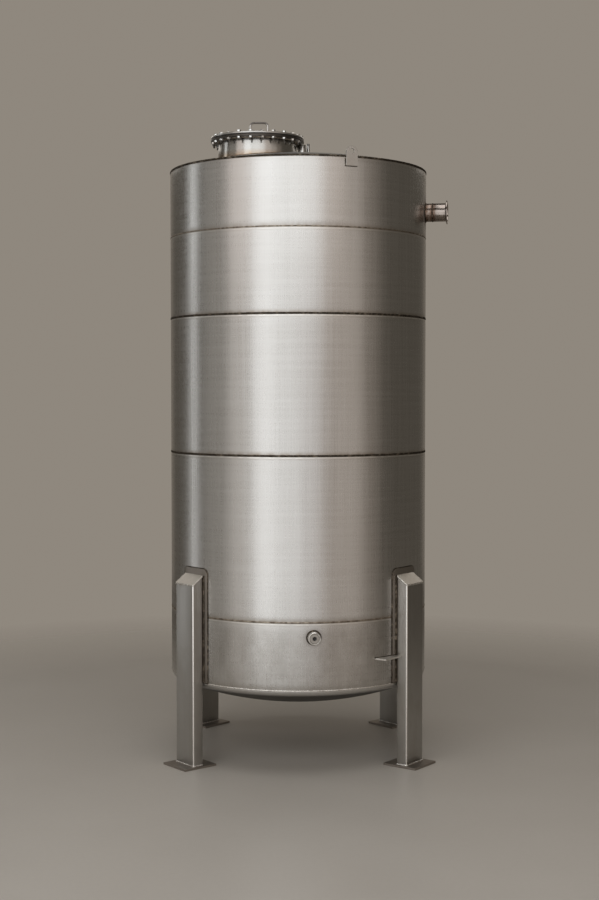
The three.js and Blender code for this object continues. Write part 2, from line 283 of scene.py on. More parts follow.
knuckle = (shell_radius - knuckle_radius, seam_height - 2 * MM)
to_knuckle = crown_radius - knuckle_radius
crown = (0, knuckle[1] + math.sqrt(to_knuckle**2 - knuckle[0] ** 2))
joint = math.degrees(math.asin(knuckle[0] / to_knuckle)) - 90
bottom_profile = arc(crown, crown_radius, -90, joint, 24)
bottom_profile += arc(knuckle, knuckle_radius, joint, 0, 10)[1:]
bottom_profile += [(shell_radius, seam_height), (shell_radius - bottom_wall, seam_height)]
bottom_profile += arc(knuckle, knuckle_radius - bottom_wall, 0, joint, 10)
bottom_profile += arc(crown, crown_radius - bottom_wall, joint, -90, 24)[1:]
bottom_profile[0] = (0, bottom_profile[0][1])
bottom_profile[-1] = (0, bottom_profile[-1][1])
bottom_steel = mill_finish("dull pressed steel", STEEL, 0.34, (3, 1, 0))
bottom = piece_of("dished_bottom", turned(bottom_profile), bottom_steel, on_axis)
shown_as(bottom, "pressed_ends", "bottom_head")


# ------------------------------------------------------------------ shell
# The shell is five courses of 3 mm stainless sheet, brushed along the tank's height, rolled round
# and butt-welded one on the other. Each weld has drawn the sheet in a little and tinted it.

course_count = 5
sheet_wall = 3 * MM
weld_pull = 0.8 * MM           # how far a seam has drawn the sheet in
weld_pull_reach = 13 * MM
row_heights = [0, 3, 6, 10, 15, 21, 30, 42]   # millimetres from an edge to the rows of the mesh
nozzle_azimuth = 80
boss_azimuth = 6.5
pipe_radius = 35 * MM
boss_radius = 24 * MM
hole_room = 0.6 * MM

course_boxes = [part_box(f"shell_course_{number + 1}") for number in range(course_count)]
shell_top = course_boxes[-1][1].z
seams = [low.z for low, high in course_boxes]
nozzle_low, nozzle_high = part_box("nozzle_ferrule")
nozzle_height = (nozzle_low.z + nozzle_high.z) / 2
boss_low, boss_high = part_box("drain_boss")
boss_height = (boss_low.z + boss_high.z) / 2


def facing(azimuth, height=0):
    """The place of a piece whose own -Y points outward at an azimuth."""
    lifted = Matrix.Translation((axis_x, axis_y, height))
    return lifted @ Matrix.Rotation(math.radians(azimuth), 4, "Z")


def pointed_out(azimuth, height):
    """The place of a turned piece whose own +Z points outward at an azimuth."""
    return facing(azimuth, height) @ Matrix.Rotation(math.radians(90), 4, "X")


def fixed(piece):
    """Turns what a piece's modifiers make into its plain mesh."""
    graph = bpy.context.evaluated_depsgraph_get()
    made = bpy.data.meshes.new_from_object(piece.evaluated_get(graph), depsgraph=graph)
    piece.modifiers.clear()
    piece.data = made
    return piece


def flat_faced(piece):
    """Lets the large faces of a plate set the shading, so that its rounded edges don't bend it."""
    weighted = piece.modifiers.new("weighted normals", "WEIGHTED_NORMAL")
    weighted.mode = "FACE_AREA"
    weighted.weight = 100
    weighted.keep_sharp = True
    return fixed(piece)


def drilled(piece, *drills):
    """Cuts the drills out of a piece, and takes the drills away."""
    for drill in drills:
        cut = piece.modifiers.new("cut", "BOOLEAN")
        cut.operation = "DIFFERENCE"
        cut.solver = "EXACT"
        cut.object = drill
    fixed(piece)
    for drill in drills:
        bpy.data.objects.remove(drill)
    return piece


def true_normals(piece, *normals_at):
    """Gives each corner the normal of the true curved surface that its face belongs to."""
    mesh = piece.data
    followed = 0.94            # how closely a face has to follow a surface to belong to it
    corner_normals = [None] * len(mesh.loops)
    for face in mesh.polygons:
        for index in face.loop_indices:
            point = mesh.vertices[mesh.loops[index].vertex_index].co
            best = face.normal
            for normal_at in normals_at:
                normal = normal_at(point)
                along = normal.dot(face.normal)
                if abs(along) > followed:
                    best = normal * (1 if along > 0 else -1)
            corner_normals[index] = best
    mesh.normals_split_custom_set(corner_normals)


def shell_draw(height):
    """How far the nearest weld has drawn the sheet in at a height, and how fast that changes."""
    draw = change = 0
    for seam in [*seams, shell_top]:
        away = (height - seam) / weld_pull_reach
        share = weld_pull * math.exp(-away * away)
        draw += share
        change -= 2 * away * share / weld_pull_reach
    return draw, change


def shell_normal(point):
    outward = Vector((point.x - axis_x, point.y - axis_y, 0)).normalized()
    return (outward + Vector((0, 0, shell_draw(point.z)[1]))).normalized()


def rolled_course(number, material):
    low, high = course_boxes[number][0].z, course_boxes[number][1].z
    rows = [low + row * MM for row in row_heights] + [high - row * MM for row in row_heights]
    heights = sorted(rows)
    outside = [(shell_radius - shell_draw(height)[0], height) for height in heights]
    inside = [(radius - sheet_wall, height) for radius, height in reversed(outside)]
    return piece_of(f"rolled_course_{number + 1}", turned(outside + inside), material, on_axis)


def drill(radius, azimuth, height):
    profile = [(0, 0.4), (radius, 0.4), (radius, 0.6), (0, 0.6)]
    return piece_of("drill", turned(profile, 96), None, pointed_out(azimuth, height))


def on_shell(azimuth, height, reach=0.0, sideways=0.0):
    """A point at an azimuth, so far outside the shell and so far sideways."""
    return facing(azimuth, height) @ Vector((sideways, -shell_radius - reach, 0))


nozzle_on_shell = on_shell(nozzle_azimuth, nozzle_height)
boss_on_shell = on_shell(boss_azimuth, boss_height)
nozzle_halo = 75 * MM          # how far the heat of each weld has tinted the sheet
boss_halo = 40 * MM
tint_reach = 19 * MM
seam_tints = (0.35, 0.7, 1.0, 1.0, 0.6, 0.25)   # from the bottom seam to the roof's


def brushed_sheet():
    """Sheet with upright brush lines, faint level smears, and heat tint along its welds."""
    finish = Finish("brushed rolled sheet")
    height = finish.part_of_place("Z")
    lines = finish.noise((520, 520, 2.2), 3, 0.6)
    broad_lines = finish.noise((60, 60, 0.9), 3, 0.55, (2, 5, 0))
    smears = finish.noise((3, 3, 70), 2, 0.5, (7, 0, 3))
    clouds = finish.noise((5, 5, 3.2), 3, 0.55, (1, 8, 2))
    ragged = finish.noise((45, 45, 12), 3, 0.6, (4, 4, 4))
    # Beside each seam, from the bottom up: straw and brown, and a painted highlight in a line under
    # it.
    tint = painted_highlight_line = None
    for seam, strength in zip([*seams, shell_top], seam_tints):
        nearness = (1 - abs(height - seam) / tint_reach).kept()
        band = nearness ** 1.4 * strength
        tint = band if tint is None else tint.most(band)
        line = (1 - abs(height - seam + 7 * MM) / (4 * MM)).kept() * strength
        painted_highlight_line = line if painted_highlight_line is None else painted_highlight_line.most(line)
    tint = (tint * (ragged * 2.2 - 0.25)).kept()
    painted_highlight_line = (painted_highlight_line * (ragged * 2.6 - 0.4)).kept()
    # Round the nozzle and the boss the tint goes as a halo.
    halo_nozzle = (1 - finish.distance_to(nozzle_on_shell) / nozzle_halo).kept()
    halo_boss = (1 - finish.distance_to(boss_on_shell) / boss_halo).kept()
    halo = (halo_nozzle * 1.9 + halo_boss * 0.9).kept()
    streaks = (lines * 0.6 + broad_lines * 0.4) * 1.5 - 0.25
    shade = finish.mixed(streaks.kept(), (0.50, 0.487, 0.468), (0.69, 0.678, 0.66))
    shade = finish.mixed((clouds * 1.6 - 0.3).kept() * 0.5, shade, (0.55, 0.53, 0.50))
    shade = finish.mixed((smears * 2.4 - 0.9).kept() * 0.16, shade, (0.80, 0.79, 0.775))
    # The lowest course is darkened in blotches: painted shade for the dim room that it mirrors low
    # down.
    painted_shade_low_down = ((seams[1] - height) / (60 * MM) + 0.3).kept()
    blotches = (finish.noise((16, 16, 9), 4, 0.62, (3, 6, 1)) * 2.2 - 0.75).kept()
    shade = finish.mixed(painted_shade_low_down * (blotches * 0.45 + 0.2), shade, (0.33, 0.305, 0.275))
    shade = finish.mixed(tint * 0.85, shade, (0.26, 0.20, 0.14))
    # painted highlight: the bright line under each seam stands in for the light caught where the
    # weld draws the sheet in
    shade = finish.mixed(painted_highlight_line * 0.9, shade, (0.90, 0.885, 0.85))
    shade = finish.mixed(halo * 0.8, shade, (0.13, 0.085, 0.060))
    rough = lines * 0.10 + broad_lines * 0.06 + smears * 0.05 + clouds * 0.05 + 0.15
    brushed = finish.bump(lines, 0.35, 0.05 * MM)
    relief = finish.bump(clouds * 3 + smears * 0.45 + broad_lines * 0.4, 0.6, 0.35 * MM, brushed)
    return finish.surface(
        Base_Color=shade,
        Metallic=1 - halo * 0.7,
        Roughness=rough + tint * 0.12 + halo * 0.15,
        Normal=relief,
    )


sheet_steel = brushed_sheet()
courses = [rolled_course(number, sheet_steel) for number in range(course_count)]
drilled(courses[0], drill(boss_radius + hole_room, boss_azimuth, boss_height))
drilled(courses[-1], drill(pipe_radius + hole_room, nozzle_azimuth, nozzle_height))
for number, course in enumerate(courses):
    true_normals(course, shell_normal)
    shown_as(course, "shell_sheet", f"shell_course_{number + 1}")


# ------------------------------------------------------------------ shell seams
# Each seam is one run of TIG weld with fine ripples. Two of them were left dark with heat scale,
# the others were brushed clean. The runs are low, about twice as wide as the sheet is thick.


class Recipe:
    """A Geometry Nodes tree that is built up node by node."""

    def __init__(self, name, sockets):
        self.tree = bpy.data.node_groups.new(name, "GeometryNodeTree")
        interface = self.tree.interface
        for label, kind, default in [("Geometry", "Geometry", None), *sockets]:
            socket = interface.new_socket(label, in_out="INPUT", socket_type=f"NodeSocket{kind}")
            if default is not None:
                socket.default_value = default
        interface.new_socket("Geometry", in_out="OUTPUT", socket_type="NodeSocketGeometry")
        self.given = self.tree.nodes.new("NodeGroupInput").outputs

    def node(self, kind, settings=None, inputs=None):
        """Adds one node and returns its outputs."""
        made = self.tree.nodes.new(kind)
        for key, value in (settings or {}).items():
            setattr(made, key, value)
        for key, value in (inputs or {}).items():
            if isinstance(value, bpy.types.NodeSocket):
                self.tree.links.new(value, made.inputs[key])
            else:
                made.inputs[key].default_value = value
        return made.outputs

    def math(self, operation, first, second=0.0):
        return self.node("ShaderNodeMath", {"operation": operation}, {0: first, 1: second})[0]

    def vector(self, operation, inputs):
        return self.node("ShaderNodeVectorMath", {"operation": operation}, inputs)

    def ended(self, shape):
        """Ends the tree in plain geometry that wears the metal it was given."""
        shape = self.node("GeometryNodeRealizeInstances", None, {"Geometry": shape})[0]
        inputs = {"Geometry": shape, "Material": self.given["Metal"]}
        shape = self.node("GeometryNodeSetMaterial", None, inputs)[0]
        self.tree.links.new(shape, self.tree.nodes.new("NodeGroupOutput").inputs[0])
        return self.tree


def made_by(tree, piece, values):
    """Runs a tree on a piece with these inputs, and keeps what it makes as the plain mesh."""
    modifier = piece.modifiers.new(tree.name, "NODES")
    modifier.node_group = tree
    for item in tree.interface.items_tree:
        if item.in_out == "INPUT" and item.name in values:
            modifier[item.identifier] = values[item.name]
    return fixed(piece)


def weld_bead_tree():
    """Lays a rippled weld bead along a line of edges, flattened across the direction that its
    points keep as 'outward'."""
    sockets = [
        ("Bead Width", "Float", 6 * MM),
        ("Bead Rise", "Float", 1.5 * MM),
        ("Ripple Pitch", "Float", 3 * MM),
        ("Ripple Depth", "Float", 0.12),
        ("Unevenness", "Float", 0.35),
        ("Seed", "Float", 1.0),
        ("Metal", "Material", None),
    ]
    recipe = Recipe("weld bead", sockets)
    node, maths, given = recipe.node, recipe.math, recipe.given
    points_a_ripple = 4.0
    line = node("GeometryNodeMeshToCurve", None, {"Mesh": given["Geometry"]})["Curve"]
    step = maths("DIVIDE", given["Ripple Pitch"], points_a_ripple)
    line = node("GeometryNodeResampleCurve", {"mode": "LENGTH"}, {"Curve": line, "Length": step})[0]
    along = node("GeometryNodeSplineParameter")["Length"]
    turns = maths("MULTIPLY", maths("DIVIDE", along, given["Ripple Pitch"]), math.tau)
    ripple = maths("MULTIPLY", maths("SINE", turns), given["Ripple Depth"])
    place = node("GeometryNodeInputPosition")[0]
    inputs = {"Vector": place, "W": given["Seed"], "Scale": 55.0, "Detail": 2.0}
    cloudy = node("ShaderNodeTexNoise", {"noise_dimensions": "4D"}, inputs)["Fac"]
    uneven = maths("MULTIPLY", maths("SUBTRACT", cloudy, 0.5), given["Unevenness"])
    share = maths("ADD", maths("ADD", 1.0, ripple), uneven)
    half = maths("MULTIPLY", given["Bead Width"], 0.5)
    radius = maths("MULTIPLY", half, share)
    stored = {"data_type": "FLOAT_VECTOR", "domain": "POINT"}
    inputs = {"Geometry": line, "Name": "middle", "Value": place}
    line = node("GeometryNodeStoreNamedAttribute", stored, inputs)[0]
    section = node("GeometryNodeCurvePrimitiveCircle", None, {"Resolution": 8, "Radius": 1.0})[0]
    inputs = {"Curve": line, "Profile Curve": section, "Scale": radius, "Fill Caps": True}
    bead = node("GeometryNodeCurveToMesh", None, inputs)[0]
    vector = {"data_type": "FLOAT_VECTOR"}
    middle = node("GeometryNodeInputNamedAttribute", vector, {"Name": "middle"})["Attribute"]
    outward = node("GeometryNodeInputNamedAttribute", vector, {"Name": "outward"})["Attribute"]
    from_middle = recipe.vector("SUBTRACT", {0: place, 1: middle})[0]
    out = recipe.vector("DOT_PRODUCT", {0: from_middle, 1: outward})["Value"]
    flatness = maths("SUBTRACT", maths("DIVIDE", given["Bead Rise"], half), 1.0)
    offset = recipe.vector("SCALE", {0: outward, "Scale": maths("MULTIPLY", out, flatness)})[0]
    bead = node("GeometryNodeSetPosition", None, {"Geometry": bead, "Offset": offset})[0]
    bead = node("GeometryNodeSetShadeSmooth", None, {"Geometry": bead})[0]
    return recipe.ended(bead)


bead_tree = weld_bead_tree()


def welded(name, runs, material, slot, width, rise, seed):
    """Lays weld beads along runs, each a list of (point, outward) pairs and whether it is closed."""
    data = bpy.data.meshes.new(name)
    points, outwards, edges = [], [], []
    for pairs, closed in runs:
        start = len(points)
        points += [point for point, outward in pairs]
        outwards += [component for point, outward in pairs for component in outward]
        edges += [(i, i + 1) for i in range(start, len(points) - 1)]
        if closed:
            edges.append((len(points) - 1, start))
    data.from_pydata(points, edges, [])
    kept = data.attributes.new("outward", "FLOAT_VECTOR", "POINT")
    kept.data.foreach_set("vector", outwards)
    piece = bpy.data.objects.new(name, data)
    bpy.context.scene.collection.objects.link(piece)
    values = {"Bead Width": width, "Bead Rise": rise, "Seed": seed, "Metal": material}
    made_by(bead_tree, piece, values)
    for attribute in ("outward", "middle"):
        if attribute in piece.data.attributes:
            piece.data.attributes.remove(piece.data.attributes[attribute])
    shown_as(piece, slot)
    return piece


def closed_run(pair_at, steps):
    """A run round a full turn, from the pair at each angle."""
    return [pair_at(step * math.tau / steps) for step in range(steps)], True


def ring_run(radius, height, steps=360):
    """A level run round the shell's axis."""

    def pair_at(angle):
        outward = Vector((math.cos(angle), math.sin(angle), 0))
        return Vector((axis_x, axis_y, height)) + outward * radius, outward

    return closed_run(pair_at, steps)


def weld_metal(name, bright, dark, scale_share, roughness):
    """Weld metal: bright ripples, with dark heat scale over a share of them."""
    finish = Finish(name)
    scale = (finish.noise((70, 70, 70), 3, 0.6) * 3 - (2.0 - 1.9 * scale_share)).kept()
    glints = (finish.noise((260, 260, 260), 2, 0.5, (5, 2, 9)) * 4 - 2.3).kept()
    shade = finish.mixed(scale, bright, dark)
    shade = finish.mixed(glints * 0.5, shade, bright)
    relief = finish.bump(finish.noise((700, 700, 700), 2), 0.4, 0.08 * MM)
    return finish.surface(
        Base_Color=shade,
        Metallic=1.0,
        Roughness=scale * 0.18 - glints * 0.1 + roughness,
        Normal=relief,
    )


dark_weld = weld_metal("scaled weld", (0.42, 0.35, 0.27), (0.05, 0.040, 0.030), 0.80, 0.34)
tan_weld = weld_metal("tinted weld", (0.48, 0.42, 0.34), (0.13, 0.10, 0.075), 0.55, 0.32)
clean_weld = weld_metal("brushed weld", (0.80, 0.775, 0.73), (0.36, 0.32, 0.28), 0.30, 0.26)

# Bottom seam first, then up the shell: metal, width and rise of each run.
seam_runs = [
    (clean_weld, 6.0 * MM, 1.5 * MM),
    (tan_weld, 6.5 * MM, 1.3 * MM),
    (dark_weld, 8.0 * MM, 1.8 * MM),
    (dark_weld, 8.0 * MM, 1.8 * MM),
    (tan_weld, 5.0 * MM, 1.1 * MM),
]
for number, (metal, width, rise) in enumerate(seam_runs):
    run = ring_run(shell_radius - weld_pull, seams[number])
    welded(f"shell_weld_{number + 1}", [run], metal, "shell_sheet", width, rise, number + 1.0)


# ------------------------------------------------------------------ roof
# The roof is a shallow dished plate of 4 mm sheet, laid on the top edge of the shell and welded
# round from outside over the whole of its rim. The weld was left dark.

roof_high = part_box("roof_plate")[1]
roof_thickness = 4 * MM
roof_rise = 60 * MM
roof_edge = roof_high.z - roof_rise
roof_radius = shell_radius
dish_radius = (roof_radius**2 + roof_rise**2) / (2 * roof_rise)
dish_centre = Vector((axis_x, axis_y, roof_edge + roof_rise - dish_radius))


def roof_height(x, y, depth=0.0):
    """The height of the roof's upper face, or of a face so deep under it."""
    away = math.hypot(x - axis_x, y - axis_y)
    return dish_centre.z + math.sqrt((dish_radius - depth) ** 2 - away**2)


def roof_normal(point):
    return (point - dish_centre).normalized()


def round_normal(x, y):
    """The outward normal of a round upright wall about a point."""
    return lambda point: Vector((point.x - x, point.y - y, 0)).normalized()


def upright_drill(x, y, radius, steps=128):
    profile = [(0, shell_top - 0.1), (radius, shell_top - 0.1), (radius, shell_top + 0.3)]
    profile.append((0, shell_top + 0.3))
    return piece_of("drill", turned(profile, steps), None, Matrix.Translation((x, y, 0)))


def middle_of(node):
    low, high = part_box(node)
    return (low + high) / 2


manhole = middle_of("manhole_neck")
neck_radius = (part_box("manhole_neck")[1].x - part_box("manhole_neck")[0].x) / 2
sockets = {"filler_socket": 4 * MM, "vent_pipe": 2 * MM}       # each with its wall

edge_angle = math.degrees(math.asin(roof_radius / dish_radius))
under_angle = math.degrees(math.asin(roof_radius / (dish_radius - roof_thickness)))
dish_middle = (0, dish_centre.z)
rim_ease = 0.7 * MM
roof_profile = arc(dish_middle, dish_radius - roof_thickness, 90, 90 - under_angle, 20)
rim_low, rim_high = roof_profile[-1][1], roof_edge
roof_profile[-1] = (roof_radius - rim_ease, rim_low)
roof_profile += [(roof_radius, rim_low + rim_ease), (roof_radius, rim_high - rim_ease)]
roof_profile += arc(dish_middle, dish_radius, 90 - edge_angle + 0.03, 90, 20)
roof_profile[0] = (0, roof_profile[0][1])
roof_profile[-1] = (0, roof_profile[-1][1])


def roof_sheet():
    """The roof's sheet: mill finish with brown tint round what is welded through it."""
    finish = Finish("dished roof sheet")
    clouds = finish.noise((8, 8, 8), 3, 0.6, (9, 4, 0))
    grain = finish.noise((700, 700, 700), 2)
    ragged = finish.noise((50, 50, 50), 3, 0.6)
    to_neck = finish.distance_to((manhole.x, manhole.y, roof_edge + 30 * MM))
    tint = (1 - abs(to_neck - neck_radius) / (24 * MM)).kept()
    for node in sockets:
        spot = middle_of(node)
        to_socket = finish.distance_to((spot.x, spot.y, roof_height(spot.x, spot.y)))
        tint = tint.most((1 - to_socket / (38 * MM)).kept())
    tint = (tint * (ragged * 1.8)).kept()
    shade = finish.mixed(clouds, (0.50, 0.485, 0.465), (0.61, 0.60, 0.58))
    shade = finish.mixed(tint * 0.8, shade, (0.42, 0.26, 0.12))
    relief = finish.bump(grain * 0.3 + clouds * 3, 0.5, 0.2 * MM)
    return finish.surface(
        Base_Color=shade, Metallic=1.0, Roughness=clouds * 0.12 + 0.28, Normal=relief
    )


roof = piece_of("dished_roof", turned(roof_profile), roof_sheet(), on_axis)
drills = [upright_drill(manhole.x, manhole.y, neck_radius + hole_room)]
for node in sockets:
    low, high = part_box(node)
    spot = (low + high) / 2
    drills.append(upright_drill(spot.x, spot.y, (high.x - low.x) / 2 + hole_room, 48))
drilled(roof, *drills)
true_normals(roof, roof_normal, round_normal(axis_x, axis_y))
shown_as(roof, "pressed_ends", "roof_plate")
roof_run = ring_run(roof_radius - 0.9 * MM, (shell_top + roof_edge) / 2)
welded("roof_weld", [roof_run], dark_weld, "pressed_ends", 8 * MM, 2.2 * MM, 6.0)


# ------------------------------------------------------------------ manhole
# A short neck of rolled sheet is welded through the roof and carries a flat ring flange. A flat
# lid with a rubber gasket is bolted to it all round, and a bent bar on the lid is its handle.

flange_low, flange_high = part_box("manhole_flange")
gasket_low, gasket_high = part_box("manhole_gasket")
lid_low, lid_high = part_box("manhole_lid")
neck_low, neck_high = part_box("manhole_neck")
flange_radius = (flange_high.x - flange_low.x) / 2
gasket_radius = (gasket_high.x - gasket_low.x) / 2
neck_wall = 3 * MM
neck_steps = 128
on_manhole = Matrix.Translation((manhole.x, manhole.y, 0))


def eased(profile, ease=0.6 * MM, closed=True):
    """A section with its corners eased. Points on the axis stay as they are."""
    count = len(profile)
    points = []
    for i, point in enumerate(profile):
        here = Vector(point)
        on_end = not closed and i in (0, count - 1)
        if on_end:
            points.append(tuple(here))
            continue
        before, after = Vector(profile[i - 1]), Vector(profile[(i + 1) % count])
        back, on = (before - here), (after - here)
        reach = min(ease, back.length / 3, on.length / 3)
        start, end = here + back.normalized() * reach, here + on.normalized() * reach
        middle = here * 0.42 + (start + end) * 0.29
        points += [tuple(start), tuple(middle), tuple(end)]
    return points


def ring_section(inner, outer, low, high):
    return [(outer, low), (outer, high), (inner, high), (inner, low)]


def disc_section(radius, low, high):
    return [(0, low), (radius, low), (radius, high), (0, high)]


def turned_steel(name, middle, roughness=0.2, colour=(0.64, 0.63, 0.61), pit=0.0):
    """Steel faced on a lathe: fine rings round a middle, a few stains, and painted shade in a pit
    there.
    """
    finish = Finish(name)
    rings = (finish.distance_to(middle) * 4200).sine() * 0.5 + 0.5
    clouds = finish.noise((28, 28, 28), 3, 0.6)
    stain = (finish.noise((60, 60, 60), 3, 0.6, (3, 3, 3)) * 3 - 1.7).kept()
    darker = tuple(c * 0.72 for c in colour)
    stained = tuple(c * k for c, k in zip(colour, (0.54, 0.45, 0.36)))
    shade = finish.mixed(stain * 0.7, finish.mixed(clouds, darker, colour), stained)
    painted_recess_shade = 0.0
    if pit:
        # painted shade: round the middle of the key recess the colour goes nearly black, for the
        # shadow inside it
        painted_recess_shade = ((pit - finish.distance_to(middle)) / (1.2 * MM)).kept()
        shade = finish.mixed(painted_recess_shade * 0.95, shade, (0.012, 0.010, 0.009))
    relief = finish.bump(rings * 0.3 + clouds, 0.35, 0.08 * MM)
    return finish.surface(
        Base_Color=shade,
        Metallic=1 - painted_recess_shade * 0.9 if pit else 1.0,
        Roughness=clouds * 0.14 + stain * 0.12 + roughness,
        Normal=relief,
    )


def neck_sheet():
    """The neck's sheet, brushed upright, with an orange tint rising from the roof weld."""
    finish = Finish("manhole neck sheet")
    lines = finish.noise((420, 420, 6), 3, 0.6)
    broad_lines = finish.noise((70, 70, 3), 3, 0.6, (1, 2, 3))
    ragged = finish.noise((60, 60, 30), 3, 0.6)
    foot = roof_height(manhole.x, manhole.y - neck_radius)
    rising = (1 - abs(finish.part_of_place("Z") - foot) / (22 * MM)).kept()
    tint = (rising * (ragged * 1.7)).kept()
    shade = finish.mixed(lines * 0.5 + broad_lines * 0.5, (0.42, 0.405, 0.38), (0.60, 0.585, 0.56))
    shade = finish.mixed(tint * 0.6, shade, (0.44, 0.27, 0.12))
    relief = finish.bump(broad_lines + lines * 0.4, 0.5, 0.1 * MM)
    return finish.surface(
        Base_Color=shade, Metallic=1.0, Roughness=lines * 0.1 + 0.17, Normal=relief
    )


def rubber():
    finish = Finish("black gasket rubber")
    bloom = finish.noise((90, 90, 90), 3, 0.6)
    shade = finish.mixed(bloom, (0.012, 0.012, 0.013), (0.035, 0.034, 0.033))
    relief = finish.bump(bloom, 0.4, 0.1 * MM)
    return finish.surface(Base_Color=shade, Roughness=bloom * 0.2 + 0.6, Normal=relief)


lid_middle = (manhole.x, manhole.y, lid_high.z)
lid_steel = turned_steel("turned lid steel", lid_middle, 0.24, (0.64, 0.62, 0.59))
# painted shade: the flange is coloured near black for the shadow under the lid and along its rim
painted_shade_flange_steel = turned_steel("flange steel painted dark as shade", lid_middle, 0.36, (0.11, 0.098, 0.086))
neck_section = eased(ring_section(neck_radius - neck_wall, neck_radius, neck_low.z, neck_high.z))
neck = piece_of("neck_tube", turned(neck_section, neck_steps), neck_sheet(), on_manhole)
shown_as(neck, "pipe_steel", "manhole_neck")
bore = neck_radius + hole_room
flange_section = eased(ring_section(bore, flange_radius, flange_low.z, flange_high.z))
flange = piece_of("ring_flange", turned(flange_section, neck_steps), painted_shade_flange_steel, on_manhole)
shown_as(flange, "machined_steel", "manhole_flange")
gasket_bore = neck_radius - neck_wall
gasket_section = ring_section(gasket_bore, gasket_radius, gasket_low.z, gasket_high.z)
gasket = piece_of("flat_gasket", turned(eased(gasket_section), neck_steps), rubber(), on_manhole)
shown_as(gasket, "gasket_rubber", "manhole_gasket")
lid_section = eased(disc_section(flange_radius, lid_low.z, lid_high.z), closed=False)
lid = piece_of("flat_lid", turned(lid_section, neck_steps), lid_steel, on_manhole)
shown_as(lid, "machined_steel", "manhole_lid")


def round_run(x, y, radius, height_at, outward_at, steps=128):
    """A run round an upright piece, at the height of what it stands on."""

    def pair_at(angle):
        spot = Vector((x + radius * math.cos(angle), y + radius * math.sin(angle), 0))
        spot.z = height_at(spot.x, spot.y)
        return spot, outward_at(spot, angle)

    return closed_run(pair_at, steps)


def sloped_out(spot, angle):
    """Half-way between an upright wall's own normal and the roof's."""
    return (Vector((math.cos(angle), math.sin(angle), 0)) + roof_normal(spot)).normalized()


neck_run = round_run(manhole.x, manhole.y, neck_radius + 1 * MM, roof_height, sloped_out)
orange_weld = weld_metal("orange weld", (0.60, 0.42, 0.24), (0.22, 0.11, 0.05), 0.5, 0.26)
welded("neck_weld", [neck_run], orange_weld, "pipe_steel", 8 * MM, 3 * MM, 7.0)


def under_flange(spot, angle):
    return Vector((math.cos(angle), math.sin(angle), -1)).normalized()


flange_run = round_run(
    manhole.x, manhole.y, neck_radius + 0.8 * MM, lambda x, y: flange_low.z - 0.6 * MM, under_flange
)
welded("flange_weld", [flange_run], tan_weld, "pipe_steel", 6 * MM, 2.2 * MM, 8.0)


# ------------------------------------------------------------------ manhole bolts
# Twenty-four M8 hexagon bolts go down through the lid and the flange, each with a washer, a nut
# and a few threads left showing under it. They are zinc-bright, but from a little under the flange
# down they are painted dark, as shade.

bolt_count = 24
bolt_circle = 168.5 * MM
bolt_flats = 13 * MM
bolt_head = 5.3 * MM
washer_radius = 8 * MM
washer_height = 1.6 * MM
nut_height = 6.5 * MM
tail_radius = 3.9 * MM
tail_length = 9 * MM


def bolt_mesh():
    """One bolt with its nut, about its own axis, at the heights where the flange has it."""
    mesh = bmesh.new()
    top, under = lid_high.z, flange_low.z
    corner = bolt_flats / math.sqrt(3)
    head_low = top + washer_height
    head_top = head_low + bolt_head
    nut_low = under - nut_height
    washer = disc_section(washer_radius, top, head_low)
    turned(eased(washer, 0.3 * MM, False), 20, mesh)
    shoulder = corner - 1.1 * MM
    head = [(0, head_low), (corner, head_low), (corner, head_top - 0.7 * MM)]
    turned(head + [(shoulder, head_top), (0, head_top)], 6, mesh)
    nut = [(0, nut_low), (shoulder, nut_low), (corner, nut_low + 0.7 * MM), (corner, under)]
    turned(nut + [(0, under)], 6, mesh)
    thread_pitch = 1.25 * MM
    low = nut_low - tail_length
    tail = [(0, low), (tail_radius - 0.7 * MM, low), (tail_radius, low + 0.7 * MM)]
    height = low + 0.7 * MM
    while height < nut_low - thread_pitch:
        tail += [(tail_radius - 0.5 * MM, height + thread_pitch / 2)]
        height += thread_pitch
        tail += [(tail_radius, height)]
    tail += [(tail_radius, nut_low), (0, nut_low)]
    turned(tail, 12, mesh)
    return mesh


def bolt_steel():
    finish = Finish("bolt steel")
    # painted shade: what hangs a little under the flange is darkened, as if in its shadow
    painted_shade_below = ((flange_low.z - 4 * MM - finish.part_of_place("Z")) * 220).kept()
    clouds = finish.noise((160, 160, 160), 2)
    shade = finish.mixed(clouds, (0.62, 0.61, 0.59), (0.78, 0.77, 0.75))
    shade = finish.mixed(painted_shade_below * 0.85, shade, (0.12, 0.105, 0.09))
    return finish.surface(Base_Color=shade, Metallic=1.0, Roughness=clouds * 0.12 + 0.16)


def bolt_circle_tree():
    """Sets one bolt so many times round a circle, each head turned differently."""
    sockets = [
        ("Bolt", "Object", None),
        ("Count", "Int", None),
        ("Circle Radius", "Float", None),
        ("First Angle", "Float", None),
        ("Metal", "Material", None),
    ]
    recipe = Recipe("bolt circle", sockets)
    node, given = recipe.node, recipe.given
    head_turn = 2.4            # radians from one head to the next
    inputs = {"Vertices": given["Count"], "Radius": given["Circle Radius"]}
    circle = node("GeometryNodeMeshCircle", None, inputs)[0]
    bolt = node("GeometryNodeObjectInfo", None, {"Object": given["Bolt"]})["Geometry"]
    turn = recipe.math("MULTIPLY", node("GeometryNodeInputIndex")[0], head_turn)
    turns = node("ShaderNodeCombineXYZ", None, {"Z": turn})[0]
    inputs = {"Points": circle, "Instance": bolt, "Rotation": turns}
    spread = node("GeometryNodeInstanceOnPoints", None, inputs)[0]
    first = node("ShaderNodeCombineXYZ", None, {"Z": given["First Angle"]})[0]
    inputs = {"Geometry": spread, "Rotation": first}
    return recipe.ended(node("GeometryNodeTransform", None, inputs)[0])


